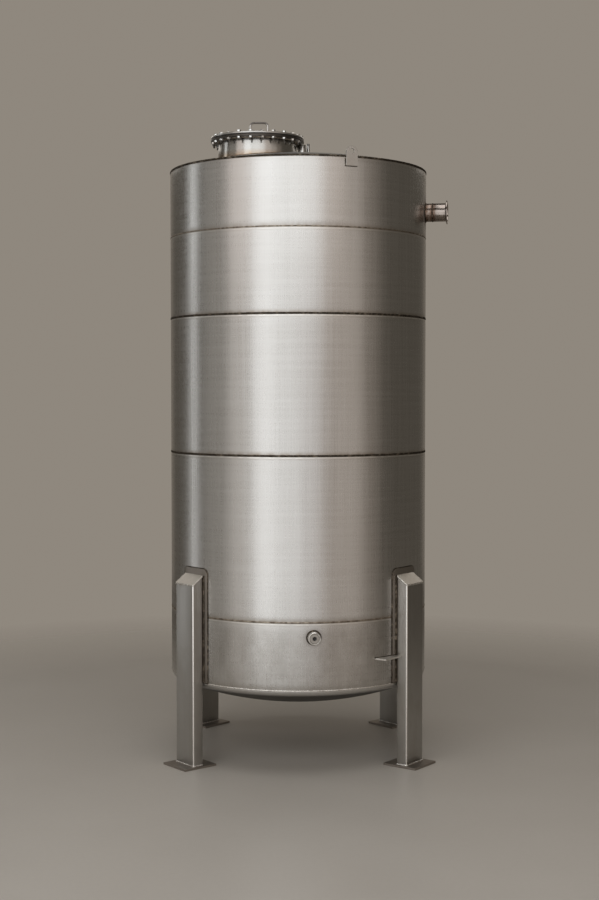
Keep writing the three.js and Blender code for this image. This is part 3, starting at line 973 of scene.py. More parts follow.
one_bolt = piece_of("one_bolt", bolt_mesh(), bolt_steel())
bolts = bpy.data.objects.new("manhole_bolts", bpy.data.meshes.new("manhole_bolts"))
bpy.context.scene.collection.objects.link(bolts)
bolt_values = {
    "Bolt": one_bolt,
    "Count": bolt_count,
    "Circle Radius": bolt_circle,
    "First Angle": math.pi / bolt_count,
    "Metal": one_bolt.data.materials[0],
}
made_by(bolt_circle_tree(), bolts, bolt_values)
bpy.data.objects.remove(one_bolt)
bolts.data.transform(on_manhole)
shown_as(bolts, "machined_steel")


# ------------------------------------------------------------------ lid handle
# The handle is an 8 mm round bar, bent twice into a U and welded by its ends to the lid. Its top
# bar is darker.

handle_low, handle_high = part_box("lid_handle")
bar_radius = 4 * MM
bend_radius = 15 * MM
straight_foot = 20 * MM


def swept_bar(points, radius, sides=16):
    """A round bar along points that lie in one upright plane across X, with closed ends."""
    mesh = bmesh.new()
    rings = []
    for i, point in enumerate(points):
        before, after = points[max(i - 1, 0)], points[min(i + 1, len(points) - 1)]
        ahead = (after - before).normalized()
        side = Vector((0, -1, 0))
        up = ahead.cross(side)
        ring = []
        for k in range(sides):
            angle = k * math.tau / sides
            offset = side * math.cos(angle) * radius + up * math.sin(angle) * radius
            ring.append(mesh.verts.new(point + offset))
        rings.append(ring)
    for first, second in zip(rings, rings[1:]):
        joined(mesh, first, second)
    mesh.faces.new(list(reversed(rings[0])))
    mesh.faces.new(rings[-1])
    bmesh.ops.recalc_face_normals(mesh, faces=mesh.faces)
    return mesh


def handle_steel():
    finish = Finish("handle bar steel")
    top = ((finish.part_of_place("Z") - handle_high.z + 14 * MM) * 140).kept()
    clouds = finish.noise((70, 70, 70), 3, 0.6)
    shade = finish.mixed(clouds, (0.62, 0.59, 0.56), (0.74, 0.71, 0.67))
    shade = finish.mixed(top * 0.92, shade, (0.10, 0.082, 0.07))
    return finish.surface(
        Base_Color=shade, Metallic=1 - top * 0.6, Roughness=clouds * 0.15 + 0.3
    )


left, right = handle_low.x + bar_radius, handle_high.x - bar_radius
bar_top = handle_high.z - bar_radius
shoulder_height = bar_top - bend_radius
bar_y = (handle_low.y + handle_high.y) / 2
bar_line = [(left, handle_low.z), (left, handle_low.z + straight_foot)]
bar_line += arc((left + bend_radius, shoulder_height), bend_radius, 180, 90, 10)
bar_line += arc((right - bend_radius, shoulder_height), bend_radius, 90, 0, 10)
bar_line += [(right, handle_low.z + straight_foot), (right, handle_low.z)]
handle_mesh = swept_bar([Vector((x, bar_y, z)) for x, z in bar_line], bar_radius)
handle = piece_of("bent_handle", handle_mesh, handle_steel())
shown_as(handle, "machined_steel", "lid_handle")


def outward_flat(spot, angle):
    return Vector((math.cos(angle), math.sin(angle), 1)).normalized()


handle_runs = [
    round_run(x, bar_y, bar_radius + 0.6 * MM, lambda x, y: lid_high.z + 0.7 * MM, outward_flat, 24)
    for x in (left, right)
]
welded("handle_welds", handle_runs, tan_weld, "machined_steel", 4 * MM, 1.6 * MM, 9.0)


# ------------------------------------------------------------------ roof sockets
# Two open sockets are welded through the roof behind the manhole's right side: a thick-walled
# filler and a thin vent pipe. Both are bright turned tube with eased ends.

for number, (node, wall) in enumerate(sockets.items()):
    low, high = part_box(node)
    spot, radius = (low + high) / 2, (high.x - low.x) / 2
    steel = turned_steel(f"turned {node} steel", (spot.x, spot.y, high.z), 0.16)
    section = eased(ring_section(radius - wall, radius, low.z, high.z), 0.8 * MM)
    place = Matrix.Translation((spot.x, spot.y, 0))
    shown_as(piece_of(f"open_{node}", turned(section, 64), steel, place), "machined_steel", node)
    run = round_run(spot.x, spot.y, radius + 0.8 * MM, roof_height, sloped_out, 48)
    welded(f"{node}_weld", [run], tan_weld, "machined_steel", 5 * MM, 2 * MM, 10.0 + number)


# ------------------------------------------------------------------ side nozzle
# A thin-walled pipe is set through the top course, and a clamp ferrule is welded to its end. The
# welds and the sheet round them are brown with heat, the ferrule is polished.

pipe_wall = 2 * MM
pipe_length = 28 * MM          # from the shell to the weld with the ferrule
pipe_reach_inside = 8 * MM
ferrule_length = 57 * MM
lip_radius = 45.5 * MM
lip_edge = 3 * MM
lip_taper = 4 * MM
groove_radius = 39 * MM        # middle of the gasket groove in the ferrule's face
groove_half = 2.2 * MM
groove_depth = 1.3 * MM
weld_gap = 0.3 * MM

nozzle_place = pointed_out(nozzle_azimuth, nozzle_height)
pipe_end = shell_radius + pipe_length
ferrule_face = pipe_end + ferrule_length
pipe_bore = pipe_radius - pipe_wall


def polished_pipe(name, tinted):
    """Polished tube: faint draw lines round it, and brown tint beside the places welded."""
    finish = Finish(name)
    clouds = finish.noise((30, 30, 30), 3, 0.6)
    fine = finish.noise((400, 400, 400), 2)
    ragged = finish.noise((90, 90, 90), 3, 0.6, (2, 2, 2))
    tint = None
    for distance, reach in tinted:
        out = finish.distance_to(facing(nozzle_azimuth, nozzle_height) @ Vector((0, -distance, 0)))
        # On the pipe's wall a point is always one pipe radius off the axis.
        off_axis = math.hypot(pipe_radius, reach) - pipe_radius
        near = (1 - abs(out - pipe_radius) / off_axis).kept()
        tint = near if tint is None else tint.most(near)
    tint = (tint * (ragged * 2.0)).kept()
    shade = finish.mixed(clouds, (0.22, 0.185, 0.16), (0.47, 0.41, 0.37))
    shade = finish.mixed(tint * 0.9, shade, (0.15, 0.09, 0.06))
    relief = finish.bump(clouds + fine * 0.15, 0.4, 0.12 * MM)
    return finish.surface(
        Base_Color=shade, Metallic=1.0, Roughness=clouds * 0.1 + tint * 0.1 + 0.14, Normal=relief
    )


nozzle_steel = polished_pipe("polished nozzle steel", [(shell_radius, 0.022), (pipe_end, 0.016)])
pipe_start = shell_radius - pipe_reach_inside
pipe_section = eased(ring_section(pipe_bore, pipe_radius, pipe_start, pipe_end), 0.3 * MM)
pipe = piece_of("nozzle_tube", turned(pipe_section, 96), nozzle_steel, nozzle_place)
shown_as(pipe, "pipe_steel", "nozzle_pipe")
ferrule_profile = [
    (pipe_bore, pipe_end + weld_gap),
    (pipe_radius, pipe_end + weld_gap),
    (pipe_radius, ferrule_face - lip_edge - lip_taper),
    (lip_radius, ferrule_face - lip_edge),
    (lip_radius, ferrule_face),
    (groove_radius + groove_half, ferrule_face),
    (groove_radius, ferrule_face - groove_depth),
    (groove_radius - groove_half, ferrule_face),
    (pipe_bore, ferrule_face),
]
ferrule = piece_of(
    "clamp_ferrule", turned(eased(ferrule_profile, 0.5 * MM), 96), nozzle_steel, nozzle_place
)
shown_as(ferrule, "machined_steel", "nozzle_ferrule")


def pipe_on_shell(azimuth, height, radius, steps=96):
    """A run where a pipe that points outward meets the shell."""
    place = facing(azimuth, height)

    def pair_at(angle):
        across, up = math.cos(angle), math.sin(angle)
        depth = math.sqrt(shell_radius**2 - (radius * across) ** 2)
        spot = place @ Vector((radius * across, -depth - 0.5 * MM, radius * up))
        return spot, place.to_3x3() @ Vector((across, -1, up)).normalized()

    return closed_run(pair_at, steps)


def round_pipe(azimuth, height, radius, distance, steps=96):
    """A run round a pipe that points outward, at a distance from the shell's axis."""
    place = facing(azimuth, height)

    def pair_at(angle):
        outward = Vector((math.cos(angle), 0, math.sin(angle)))
        spot = place @ (outward * radius + Vector((0, -distance, 0)))
        return spot, place.to_3x3() @ outward

    return closed_run(pair_at, steps)


nozzle_run = pipe_on_shell(nozzle_azimuth, nozzle_height, pipe_radius + 1 * MM)
welded("nozzle_shell_weld", [nozzle_run], dark_weld, "pipe_steel", 8 * MM, 2.6 * MM, 12.0)
pipe_run = round_pipe(nozzle_azimuth, nozzle_height, pipe_radius, pipe_end)
welded("nozzle_pipe_weld", [pipe_run], dark_weld, "pipe_steel", 5 * MM, 1.1 * MM, 13.0)


# ------------------------------------------------------------------ plugged boss
# A thick turned boss is welded into the lowest course as a drain. A threaded plug with a hexagon
# key recess closes it, a little behind the boss's bevelled face.

boss_length = 28 * MM          # outside the shell
boss_face = shell_radius + boss_length
boss_start = shell_radius - 8 * MM
boss_bevel = 2.5 * MM
plug_radius = 18.5 * MM
plug_face = boss_face - 2 * MM
key_flats = 14 * MM
key_depth = 11 * MM
pit_out = 19 * MM              # the middle of the painted shade in the key, outside the shell
pit_radius = key_flats * 0.66
boss_place = pointed_out(boss_azimuth, boss_height)


def hexagon(flats):
    """The radius of a hexagon at an angle."""
    third = math.tau / 6
    return lambda angle: flats / 2 / math.cos((angle + third / 2) % third - third / 2)


boss_middle = on_shell(boss_azimuth, boss_height, boss_length)
boss_steel = turned_steel("turned boss steel", tuple(boss_middle), 0.2, (0.86, 0.84, 0.80))
plug_middle = tuple(on_shell(boss_azimuth, boss_height, pit_out))
plug_steel = turned_steel("plug steel", plug_middle, 0.3, (0.50, 0.47, 0.43), pit_radius)
boss_bore = plug_radius + 0.3 * MM
boss_section = [
    (boss_radius, boss_start),
    (boss_radius, boss_face - boss_bevel),
    (boss_radius - boss_bevel, boss_face),
    (boss_bore, boss_face),
    (boss_bore, boss_start),
]
boss = piece_of("drain_socket", turned(eased(boss_section, 0.5 * MM), 96), boss_steel, boss_place)
shown_as(boss, "machined_steel", "drain_boss")
key = hexagon(key_flats)
plug_section = [
    (0, boss_start),
    (plug_radius, boss_start),
    (plug_radius, plug_face - 1.5 * MM),
    (plug_radius - 1.5 * MM, plug_face),
    (hexagon(key_flats + 1.4 * MM), plug_face),
    (key, plug_face - 0.7 * MM),
    (key, plug_face - key_depth),
    (0, plug_face - key_depth - 2 * MM),
]
plug = piece_of("key_plug", turned(plug_section, 96), plug_steel, boss_place)
shown_as(plug, "machined_steel", "drain_plug")
boss_run = pipe_on_shell(boss_azimuth, boss_height, boss_radius + 1.2 * MM)
welded("boss_weld", [boss_run], dark_weld, "machined_steel", 8 * MM, 2.6 * MM, 14.0)


# ------------------------------------------------------------------ lifting lugs
# Two lugs of 8 mm plate with round tops stand on the outside of the shell, on opposite sides, and
# are welded down both edges and along the foot. Each has one hole for a shackle pin.

lug_azimuths = {"lifting_lug_front": 22.5, "lifting_lug_back": 202.5}
lug_width = 45 * MM
lug_thickness = 8 * MM
lug_rise = 34 * MM             # the lug's top over the roof's edge
lug_drop = 37 * MM
lug_hole_radius = 9 * MM
lug_hole_drop = 17 * MM
touch_gap = 0.3 * MM


def cut_plate(outlines, thickness, edge=0.6 * MM):
    """A flat plate on Z 0 to its thickness, from its outline and those of its holes."""
    mesh = bmesh.new()
    edges = []
    for outline in outlines:
        ring = [mesh.verts.new((x, y, 0)) for x, y in outline]
        edges += [mesh.edges.new((a, b)) for a, b in zip(ring, ring[1:] + ring[:1])]
    filled = bmesh.ops.triangle_fill(mesh, use_beauty=True, edges=edges, normal=(0, 0, 1))
    faces = [item for item in filled["geom"] if isinstance(item, bmesh.types.BMFace)]
    bmesh.ops.dissolve_limit(
        mesh, angle_limit=0.01, verts=mesh.verts, edges=mesh.edges, use_dissolve_boundaries=False
    )
    raised = bmesh.ops.extrude_face_region(mesh, geom=list(mesh.faces))
    moved = [item for item in raised["geom"] if isinstance(item, bmesh.types.BMVert)]
    bmesh.ops.translate(mesh, verts=moved, vec=(0, 0, thickness))
    bmesh.ops.recalc_face_normals(mesh, faces=mesh.faces)
    ease_edges(mesh, edge)
    return mesh


def ease_edges(mesh, edge):
    """Rounds every edge of a mesh that turns by more than 40 degrees."""
    sharp = [e for e in mesh.edges if e.is_manifold and e.calc_face_angle(0) > math.radians(40)]
    bmesh.ops.bevel(
        mesh, geom=sharp, offset=edge, segments=2, profile=0.5, affect="EDGES", clamp_overlap=True
    )


def plate_steel(name, offset, along=(260, 260, 5), colour=STEEL, roughness=0.27, painted_edge_highlight=False):
    """Cut plate or section: brushed along its length, with dull patches and brown stains, and
    where asked a painted highlight on the edges that the mesh marks."""
    finish = Finish(name)
    lines = finish.noise(along, 3, 0.6, offset)
    clouds = finish.noise((14, 14, 14), 3, 0.6, offset)
    stain = (finish.noise((11, 11, 6), 4, 0.65, (offset[1], offset[0], 3)) * 3 - 1.6).kept()
    darker = tuple(c * 0.80 for c in colour)
    lighter = tuple(min(c * 1.12, 1) for c in colour)
    stained = tuple(c * k for c, k in zip(colour, (0.66, 0.58, 0.48)))
    shade = finish.mixed(lines * 0.6 + clouds * 0.4, darker, lighter)
    shade = finish.mixed(stain * 0.45, shade, stained)
    rough = lines * 0.1 + clouds * 0.08 + stain * 0.08 + roughness
    if painted_edge_highlight:
        # painted highlight: the marked corners are made nearly white, for the light they catch
        edge = finish.node("ShaderNodeAttribute", {"attribute_name": "edge"}, None, "Fac")
        shade = finish.mixed(edge.kept(), shade, (0.95, 0.93, 0.89))
        rough = rough - edge * 0.06
    relief = finish.bump(lines * 0.6 + clouds * 1.6, 0.45, 0.12 * MM)
    return finish.surface(Base_Color=shade, Metallic=1.0, Roughness=rough, Normal=relief)


def lug_outline():
    half = lug_width / 2
    round_middle = (0, lug_rise - half)
    return [(-half, -lug_drop), (half, -lug_drop)] + arc(round_middle, half, 0, 180, 28)


lug_steel = plate_steel("lug plate steel", (2, 2, 2), (200, 200, 200), (0.64, 0.62, 0.59), 0.3)
lug_hole = arc((0, lug_rise - lug_hole_drop), lug_hole_radius, 0, 350, 35)
for number, (node, azimuth) in enumerate(lug_azimuths.items()):
    mesh = cut_plate([lug_outline(), lug_hole], lug_thickness, 0.7 * MM)
    stood = Matrix.Translation((0, -shell_radius - touch_gap, 0)) @ Matrix.Rotation(
        math.radians(90), 4, "X"
    )
    place = facing(azimuth, roof_edge) @ stood
    lug = flat_faced(piece_of(f"plate_{node}", mesh, lug_steel, place))
    shown_as(lug, "leg_steel", node)
    half = lug_width / 2
    corner_height, foot = shell_top - 4 * MM, roof_edge - lug_drop
    route = [(-half, corner_height), (-half, foot), (half, foot), (half, corner_height)]
    leans = [(-1, 0), (-0.7, -0.7), (0.7, -0.7), (1, 0)]
    pairs = []
    for (across, height), (lean_x, lean_z) in zip(route, leans):
        spot = facing(azimuth, height) @ Vector((across, -shell_radius - 1 * MM, 0))
        outward = facing(azimuth).to_3x3() @ Vector((lean_x, -1, lean_z)).normalized()
        pairs.append((spot, outward))
    welded(f"{node}_weld", [(pairs, False)], dark_weld, "leg_steel", 5 * MM, 2 * MM, 15.0 + number)


# ------------------------------------------------------------------ legs
# Each leg is a 112 x 46 mm rectangular hollow section with a sloped cap, welded to a rounded
# doubler pad on the shell, and it stands on a square foot plate that is welded all round.

leg_azimuths = {"front_left": -50.7, "front_right": 52.8, "back_right": 131, "back_left": 227.8}
tube_width = 112 * MM
tube_depth = 46 * MM
tube_wall = 3 * MM
tube_corner = 6 * MM
pad_width = 148 * MM
pad_thickness = 3 * MM
pad_corner = 24 * MM
cap_drop = 32 * MM
cap_thickness = 3 * MM
foot_size = 142 * MM

tube_inner = shell_radius + pad_thickness + 3 * touch_gap
tube_middle = tube_inner + tube_depth / 2
cap_slope = cap_drop / tube_depth
cap_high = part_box("leg_cap_front_left")[1].z
pad_low, pad_high = (corner.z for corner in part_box("leg_pad_front_left"))
foot_low, foot_high = (corner.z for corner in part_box("foot_plate_front_left"))


def rounded_outline(width, depth, corner, middle_y, steps=6):
    """A rounded rectangle, anticlockwise from its right side."""
    x, y = width / 2 - corner, depth / 2 - corner
    points = arc((x, middle_y + y), corner, 0, 90, steps)
    points += arc((-x, middle_y + y), corner, 90, 180, steps)
    points += arc((-x, middle_y - y), corner, 180, 270, steps)
    return points + arc((x, middle_y - y), corner, 270, 360, steps)


def cap_height(y):
    """The height of the cap's upper face at a leg's own Y, which is minus the distance out."""
    return cap_high - (-y - tube_inner) * cap_slope


def leg_tube():
    mesh = bmesh.new()
    edge = mesh.verts.layers.float.new("edge")
    cap_plumb = cap_thickness * math.hypot(1, cap_slope) + touch_gap
    outer = rounded_outline(tube_width, tube_depth, tube_corner, -tube_middle)
    inner_size = (tube_width - 2 * tube_wall, tube_depth - 2 * tube_wall)
    inner = rounded_outline(*inner_size, tube_corner - tube_wall, -tube_middle)
    loops = []
    for outline, top in ((outer, False), (outer, True), (inner, True), (inner, False)):
        level = foot_high + touch_gap
        heights = [cap_height(y) - cap_plumb if top else level for x, y in outline]
        loops.append([mesh.verts.new((x, y, z)) for (x, y), z in zip(outline, heights)])
    count = len(outer)
    for loop in loops:
        for i, vert in enumerate(loop):
            # the middle of each rounded corner is marked for the painted highlight in the leg's
            # material
            vert[edge] = 1.0 if 1 < i % (count // 4) < count // 4 - 2 else 0.0
    for first, second in zip(loops, loops[1:] + loops[:1]):
        joined(mesh, first, second)
    bmesh.ops.recalc_face_normals(mesh, faces=mesh.faces)
    return mesh


def sloped_cap():
    """The cap: a plate as wide as the tube, sloping down and outward."""
    mesh = bmesh.new()
    plumb = cap_thickness * math.hypot(1, cap_slope)
    outline = rounded_outline(tube_width, tube_depth, 2 * MM, -tube_middle, 3)
    lower = [mesh.verts.new((x, y, cap_height(y) - plumb)) for x, y in outline]
    upper = [mesh.verts.new((x, y, cap_height(y))) for x, y in outline]
    joined(mesh, lower, upper)
    mesh.faces.new(list(reversed(lower)))
    mesh.faces.new(upper)
    ease_edges(mesh, 0.6 * MM)
    return mesh


def doubler_pad():
    """The pad: rolled to the shell, with rounded upper corners, as a grid over its width."""
    mesh = bmesh.new()
    half, steps = pad_width / 2, 40
    across = [-half * math.cos(math.pi * i / steps) for i in range(steps + 1)]
    rows = 6

    def top_at(s):
        into = max(abs(s) - (half - pad_corner), 0)
        return pad_high - pad_corner + math.sqrt(max(pad_corner**2 - into**2, 0))

    def spot(s, height, radius):
        angle = s / shell_radius
        return mesh.verts.new((radius * math.sin(angle), -radius * math.cos(angle), height))

    grids = []
    for radius in (shell_radius + touch_gap, shell_radius + touch_gap + pad_thickness):
        columns = []
        for s in across:
            levels = [pad_low + (top_at(s) - pad_low) * row / rows for row in range(rows + 1)]
            columns.append([spot(s, level, radius) for level in levels])
        grids.append(columns)
    inner, outer = grids
    for i in range(steps):
        for row in range(rows):
            for grid in grids:
                corners = [grid[i][row], grid[i + 1][row], grid[i + 1][row + 1], grid[i][row + 1]]
                mesh.faces.new(corners if grid is outer else list(reversed(corners)))
        mesh.faces.new([inner[i][0], inner[i + 1][0], outer[i + 1][0], outer[i][0]])
        mesh.faces.new([outer[i][rows], outer[i + 1][rows], inner[i + 1][rows], inner[i][rows]])
    for row in range(rows):
        for column in (0, steps):
            corners = [inner[column][row], outer[column][row]]
            corners += [outer[column][row + 1], inner[column][row + 1]]
            mesh.faces.new(corners)
    bmesh.ops.recalc_face_normals(mesh, faces=mesh.faces)
    ease_edges(mesh, 0.5 * MM)
    return mesh


def foot_plate():
    half = foot_size / 2
    outline = [(-half, -half), (half, -half), (half, half), (-half, half)]
    centred = [(x, y - tube_middle) for x, y in outline]
    return cut_plate([centred], foot_high - foot_low, 0.9 * MM)


def pad_run():
    """The route of the weld round a pad, as its width and height on the unrolled shell."""
    half, corner = pad_width / 2, pad_corner
    points = [(-half, pad_low), (half, pad_low)]
    sides = arc((half - corner, pad_high - corner), corner, 0, 90, 8)
    sides += arc((corner - half, pad_high - corner), corner, 90, 180, 8)
    return points + sides


def leg_welds(azimuth):
    """Every weld of one leg, as runs: round the pad, down the tube, round the cap and the foot."""
    place = facing(azimuth)
    turn = place.to_3x3()
    pad_middle = Vector((0, (pad_low + pad_high) / 2))
    runs = {"pad": [], "tube": [], "foot": []}
    dense = []
    route = pad_run()
    for (s0, z0), (s1, z1) in zip(route, route[1:] + route[:1]):
        pieces = max(1, round(math.hypot(s1 - s0, z1 - z0) / (12 * MM)))
        dense += [(s0 + (s1 - s0) * k / pieces, z0 + (z1 - z0) * k / pieces) for k in range(pieces)]
    pairs = []
    for s, z in dense:
        angle = s / shell_radius
        radius = shell_radius + 1.2 * MM
        spot = place @ Vector((radius * math.sin(angle), -radius * math.cos(angle), z))
        sideways = Vector((math.copysign(1, s) if abs(s) > pad_width / 2 - pad_corner else 0, 0, 0))
        upward = Vector((0, 0, math.copysign(1, z - pad_middle.y) if not sideways.x else 0))
        outward = Vector((math.sin(angle), -math.cos(angle), 0)) + sideways * 0.7 + upward * 0.7
        pairs.append((spot, (turn @ outward).normalized()))
    runs["pad"].append((pairs, True))
    for side in (-1, 1):
        angle = side * (tube_width / 2) / shell_radius
        radius = shell_radius + pad_thickness + 1.4 * MM
        foot = Vector((radius * math.sin(angle), -radius * math.cos(angle), pad_low + 4 * MM))
        outward = turn @ Vector((side * 0.8, -0.6, 0)).normalized()
        top = foot.copy()
        top.z = cap_high - 2 * MM
        runs["tube"].append(([(place @ foot, outward), (place @ top, outward)], False))
    foot_pairs = []
    grown = rounded_outline(tube_width + 1.6 * MM, tube_depth + 1.6 * MM, tube_corner, -tube_middle)
    for x, y in grown:
        away = Vector((x, y + tube_middle, 0)).normalized() + Vector((0, 0, 0.9))
        spot = place @ Vector((x, y, foot_high + 1 * MM))
        foot_pairs.append((spot, (turn @ away).normalized()))
    runs["foot"].append((foot_pairs, True))
    return runs


def cap_run(azimuth):
    """The cleaned weld round the cap's edge, just under its upper face."""
    place = facing(azimuth)
    turn = place.to_3x3()
    pairs = []
    plumb = cap_thickness * math.hypot(1, cap_slope)
    for x, y in rounded_outline(tube_width, tube_depth, 4 * MM, -tube_middle, 4):
        spot = place @ Vector((x, y, cap_height(y) - plumb))
        away = (turn @ Vector((x, y + tube_middle, 0))).normalized()
        pairs.append((spot, away))
    return pairs, True


tube_steel = plate_steel("leg steel", (6, 1, 2), (240, 240, 2), (0.45, 0.435, 0.41), 0.22, True)
cap_steel = plate_steel("cap plate steel", (4, 9, 5), (60, 60, 60), (0.80, 0.76, 0.70), 0.36)
pad_steel = plate_steel("pad plate steel", (8, 3, 1), (300, 300, 3), (0.36, 0.325, 0.29), 0.32)
foot_steel = plate_steel("foot plate steel", (1, 7, 7), (70, 70, 70), (0.34, 0.305, 0.27), 0.38)
for number, (side, azimuth) in enumerate(leg_azimuths.items()):
    place = facing(azimuth)
    pad = piece_of(f"doubler_pad_{side}", doubler_pad(), pad_steel, place)
    shown_as(pad, "leg_steel", f"leg_pad_{side}")
    tube = piece_of(f"hollow_leg_{side}", leg_tube(), tube_steel, place)
    shown_as(tube, "leg_steel", f"leg_tube_{side}")
    cap = flat_faced(piece_of(f"sloped_cap_{side}", sloped_cap(), cap_steel, place))
    shown_as(cap, "leg_steel", f"leg_cap_{side}")
    foot = flat_faced(piece_of(f"square_foot_{side}", foot_plate(), foot_steel, place))
    shown_as(foot, "leg_steel", f"foot_plate_{side}")
    runs = leg_welds(azimuth)
    seed = 20.0 + number
    welded(f"pad_weld_{side}", runs["pad"], dark_weld, "leg_steel", 5 * MM, 2 * MM, seed)
    welded(f"tube_weld_{side}", runs["tube"], dark_weld, "leg_steel", 9 * MM, 3 * MM, seed)
    welded(f"foot_weld_{side}", runs["foot"], clean_weld, "leg_steel", 7 * MM, 2.8 * MM, seed)
    welded(
        f"cap_weld_{side}", [cap_run(azimuth)], clean_weld, "leg_steel", 5 * MM, 1.5 * MM, seed
    )


# ------------------------------------------------------------------ shelf
# A small level plate fills the corner between the shell and the front right leg. It is 6 mm plate
# cut to the shell's curve and to the pad, and welded along both.

shelf_low, shelf_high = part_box("earth_shelf")
shelf_length = 100 * MM        # along the shell, from the leg's side
shelf_reach = 24 * MM          # its outer edge beyond the shell

shelf_side = -tube_width / 2 - touch_gap
pad_edge = pad_width / 2 + 2 * touch_gap
pad_outside = shell_radius + pad_thickness + 3 * touch_gap
shell_outside = shell_radius + 2 * touch_gap


def on_round(radius, x):
    return (x, -math.sqrt(radius**2 - x**2))


free_end = shelf_side - shelf_length
shelf_outline = [(free_end, -shell_radius - shelf_reach), (shelf_side, -shell_radius - shelf_reach)]
for step in range(5):
    along = shelf_side + (-pad_edge - shelf_side) * step / 4
    shelf_outline.append(on_round(pad_outside, along))
for step in range(9):
    along = -pad_edge + (free_end + pad_edge) * step / 8
    shelf_outline.append(on_round(shell_outside, along))
shelf_place = facing(leg_azimuths["front_right"], shelf_low.z)
shelf_mesh = cut_plate([shelf_outline], shelf_high.z - shelf_low.z, 0.7 * MM)
shelf_steel = plate_steel("shelf plate steel", (5, 5, 1), (90, 90, 90), (0.84, 0.81, 0.76), 0.34)
shelf = flat_faced(piece_of("corner_shelf", shelf_mesh, shelf_steel, shelf_place))
shown_as(shelf, "leg_steel", "earth_shelf")
shelf_pairs = []
for x, y in shelf_outline[2:]:
    spot = shelf_place @ Vector((x, y, shelf_high.z - shelf_low.z + 0.3 * MM))
    outward = shelf_place.to_3x3() @ Vector((0, -0.7, 0.7))
    shelf_pairs.append((spot, outward))
welded("shelf_weld", [(shelf_pairs, False)], dark_weld, "leg_steel", 5 * MM, 2 * MM, 30.0)


# ------------------------------------------------------------------ studio
# The tank stands on a plain pale floor of smooth concrete in a grey studio. Tall soft lights stand
# round its front and are strongest a little left of the middle. The right side is left dark.


floor_shown = 1.9              # the floor starts to fade at this distance from the tank
floor_fade = 1.5
floor_radius = 8.0


def floor_finish():
    """Pale trowelled concrete that fades out into the backdrop away from the tank."""
    finish = Finish("pale floor")
    clouds = finish.noise((1.6, 1.6, 1.6), 4, 0.6)
    speckle = finish.noise((60, 60, 60), 2)
    shade = finish.mixed(clouds * 0.7 + speckle * 0.3, (0.50, 0.465, 0.42), (0.60, 0.565, 0.515))
    inputs = {"Base Color": shade, "Roughness": clouds * 0.12 + 0.34}
    concrete = finish.node("ShaderNodeBsdfPrincipled", None, inputs)
    clear = finish.node("ShaderNodeBsdfTransparent")
    away = (finish.distance_to((axis_x, axis_y, 0)) - floor_shown) / floor_fade
    inputs = {"Fac": away.kept(), "Shader": concrete, "Shader_001": clear}
    ending = finish.node("ShaderNodeMixShader", None, inputs)
    finish.node("ShaderNodeOutputMaterial", None, {"Surface": ending})
    return finish.material


floor_mesh = bmesh.new()
bmesh.ops.create_circle(floor_mesh, cap_ends=True, radius=floor_radius, segments=96)
floor = piece_of("floor", floor_mesh, floor_finish(), on_axis)


def soft_light(name, azimuth, distance, middle, width, height, brightness, colour):
    """A tall soft box that faces the tank's axis. Brightness is that of its face."""
    data = bpy.data.lights.new(name, "AREA")
    data.shape = "RECTANGLE"
    data.size, data.size_y = width, height
    data.energy = brightness * math.pi * width * height
    data.color = colour
    light = bpy.data.objects.new(name, data)
    bpy.context.scene.collection.objects.link(light)
    spot = facing(azimuth, middle) @ Vector((0, -distance, 0))
    light.location = spot
    to_axis = Vector((axis_x, axis_y, middle)) - spot
    light.rotation_euler = to_axis.to_track_quat("-Z", "Y").to_euler()
    light.visible_camera = False


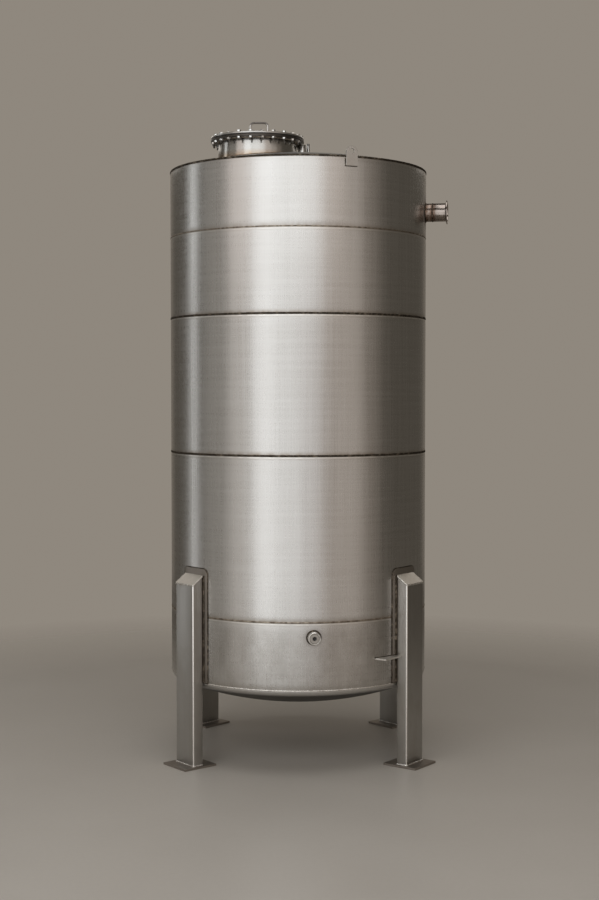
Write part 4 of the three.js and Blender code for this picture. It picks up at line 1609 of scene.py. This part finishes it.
# Name, azimuth, distance, height of the middle, width, height, brightness and colour. The last two
# hang high behind the tank, where the sloped caps of the legs mirror them.
soft_lights = [
    ("strip low", -101, 4.2, 0.7, 0.62, 3.0, 1.0, (0.97, 0.985, 1)),
    ("strip high", -101, 4.2, 3.2, 0.62, 2.0, 1.3, (0.95, 0.98, 1)),
    ("far left", -75, 4.3, 1.4, 1.7, 4.4, 0.22, (1, 0.97, 0.93)),
    ("left low", -50, 4.3, 0.7, 1.7, 3.0, 0.53, (1, 0.96, 0.93)),
    ("left high", -50, 4.3, 3.2, 1.7, 2.0, 0.88, (1, 0.93, 0.90)),
    ("key low", -28, 4.2, 0.7, 1.5, 3.0, 1.24, (0.97, 0.985, 1)),
    ("key high", -28, 4.2, 3.2, 1.5, 2.0, 1.60, (0.95, 0.975, 1)),
    ("middle low", -8, 4.2, 0.7, 1.4, 3.0, 0.95, (0.98, 0.99, 1)),
    ("middle high", -8, 4.2, 3.2, 1.4, 2.0, 1.34, (0.965, 0.985, 1)),
    ("front low", 10, 4.2, 0.7, 1.3, 3.0, 0.71, (1, 0.98, 0.985)),
    ("front high", 10, 4.2, 3.2, 1.3, 2.0, 1.24, (0.98, 0.99, 1)),
    ("right low", 28, 4.2, 0.7, 1.4, 3.0, 0.38, (1, 0.89, 0.82)),
    ("right high", 28, 4.2, 3.2, 1.4, 2.0, 0.66, (1, 0.90, 0.84)),
    ("right", 46, 4.2, 1.4, 1.3, 4.4, 0.41, (1, 0.90, 0.83)),
    ("far right", 63, 4.2, 1.4, 1.3, 4.4, 0.14, (1, 0.86, 0.76)),
    ("wall", 180, 4.5, 2.2, 6.0, 4.4, 0.12, (1, 0.86, 0.72)),
    ("back left", -146, 5.0, 4.2, 2.8, 2.0, 0.8, (1, 0.96, 0.91)),
    ("back right", 146, 5.0, 4.2, 2.8, 2.0, 0.7, (1, 0.94, 0.87)),
]
for row in soft_lights:
    soft_light(*row)

overhead = bpy.data.lights.new("overhead", "AREA")
overhead.shape = "SQUARE"
overhead.size = 3.4
overhead.energy = 60
overhead_light = bpy.data.objects.new("overhead", overhead)
bpy.context.scene.collection.objects.link(overhead_light)
overhead_light.location = (axis_x, axis_y - 0.8, 5.2)
overhead_light.visible_camera = False

world = bpy.data.worlds.new("studio")
bpy.context.scene.world = world
world.use_nodes = True
world_nodes, world_links = world.node_tree.nodes, world.node_tree.links
world_nodes.clear()
room = world_nodes.new("ShaderNodeBackground")
room.inputs["Color"].default_value = (0.094, 0.083, 0.068, 1)
backdrop = world_nodes.new("ShaderNodeBackground")
backdrop.inputs["Color"].default_value = (0.275, 0.245, 0.208, 1)
seen = world_nodes.new("ShaderNodeLightPath")
either = world_nodes.new("ShaderNodeMixShader")
world_links.new(seen.outputs["Is Camera Ray"], either.inputs["Fac"])
world_links.new(room.outputs[0], either.inputs[1])
world_links.new(backdrop.outputs[0], either.inputs[2])
world_links.new(either.outputs[0], world_nodes.new("ShaderNodeOutputWorld").inputs["Surface"])

camera_distance = 5.726
camera_height = 1.408
camera_pitch = 2.37            # degrees down
camera_turn = 0.051            # degrees to the right
camera_data = bpy.data.cameras.new("camera")
camera_data.sensor_width = 36
camera_data.lens = 57.96
camera = bpy.data.objects.new("camera", camera_data)
bpy.context.scene.collection.objects.link(camera)
camera.location = (axis_x, axis_y - camera_distance, camera_height)
camera.rotation_euler = (math.radians(90 - camera_pitch), 0, math.radians(-camera_turn))
bpy.context.scene.camera = camera
bpy.context.scene.view_settings.view_transform = "Standard"
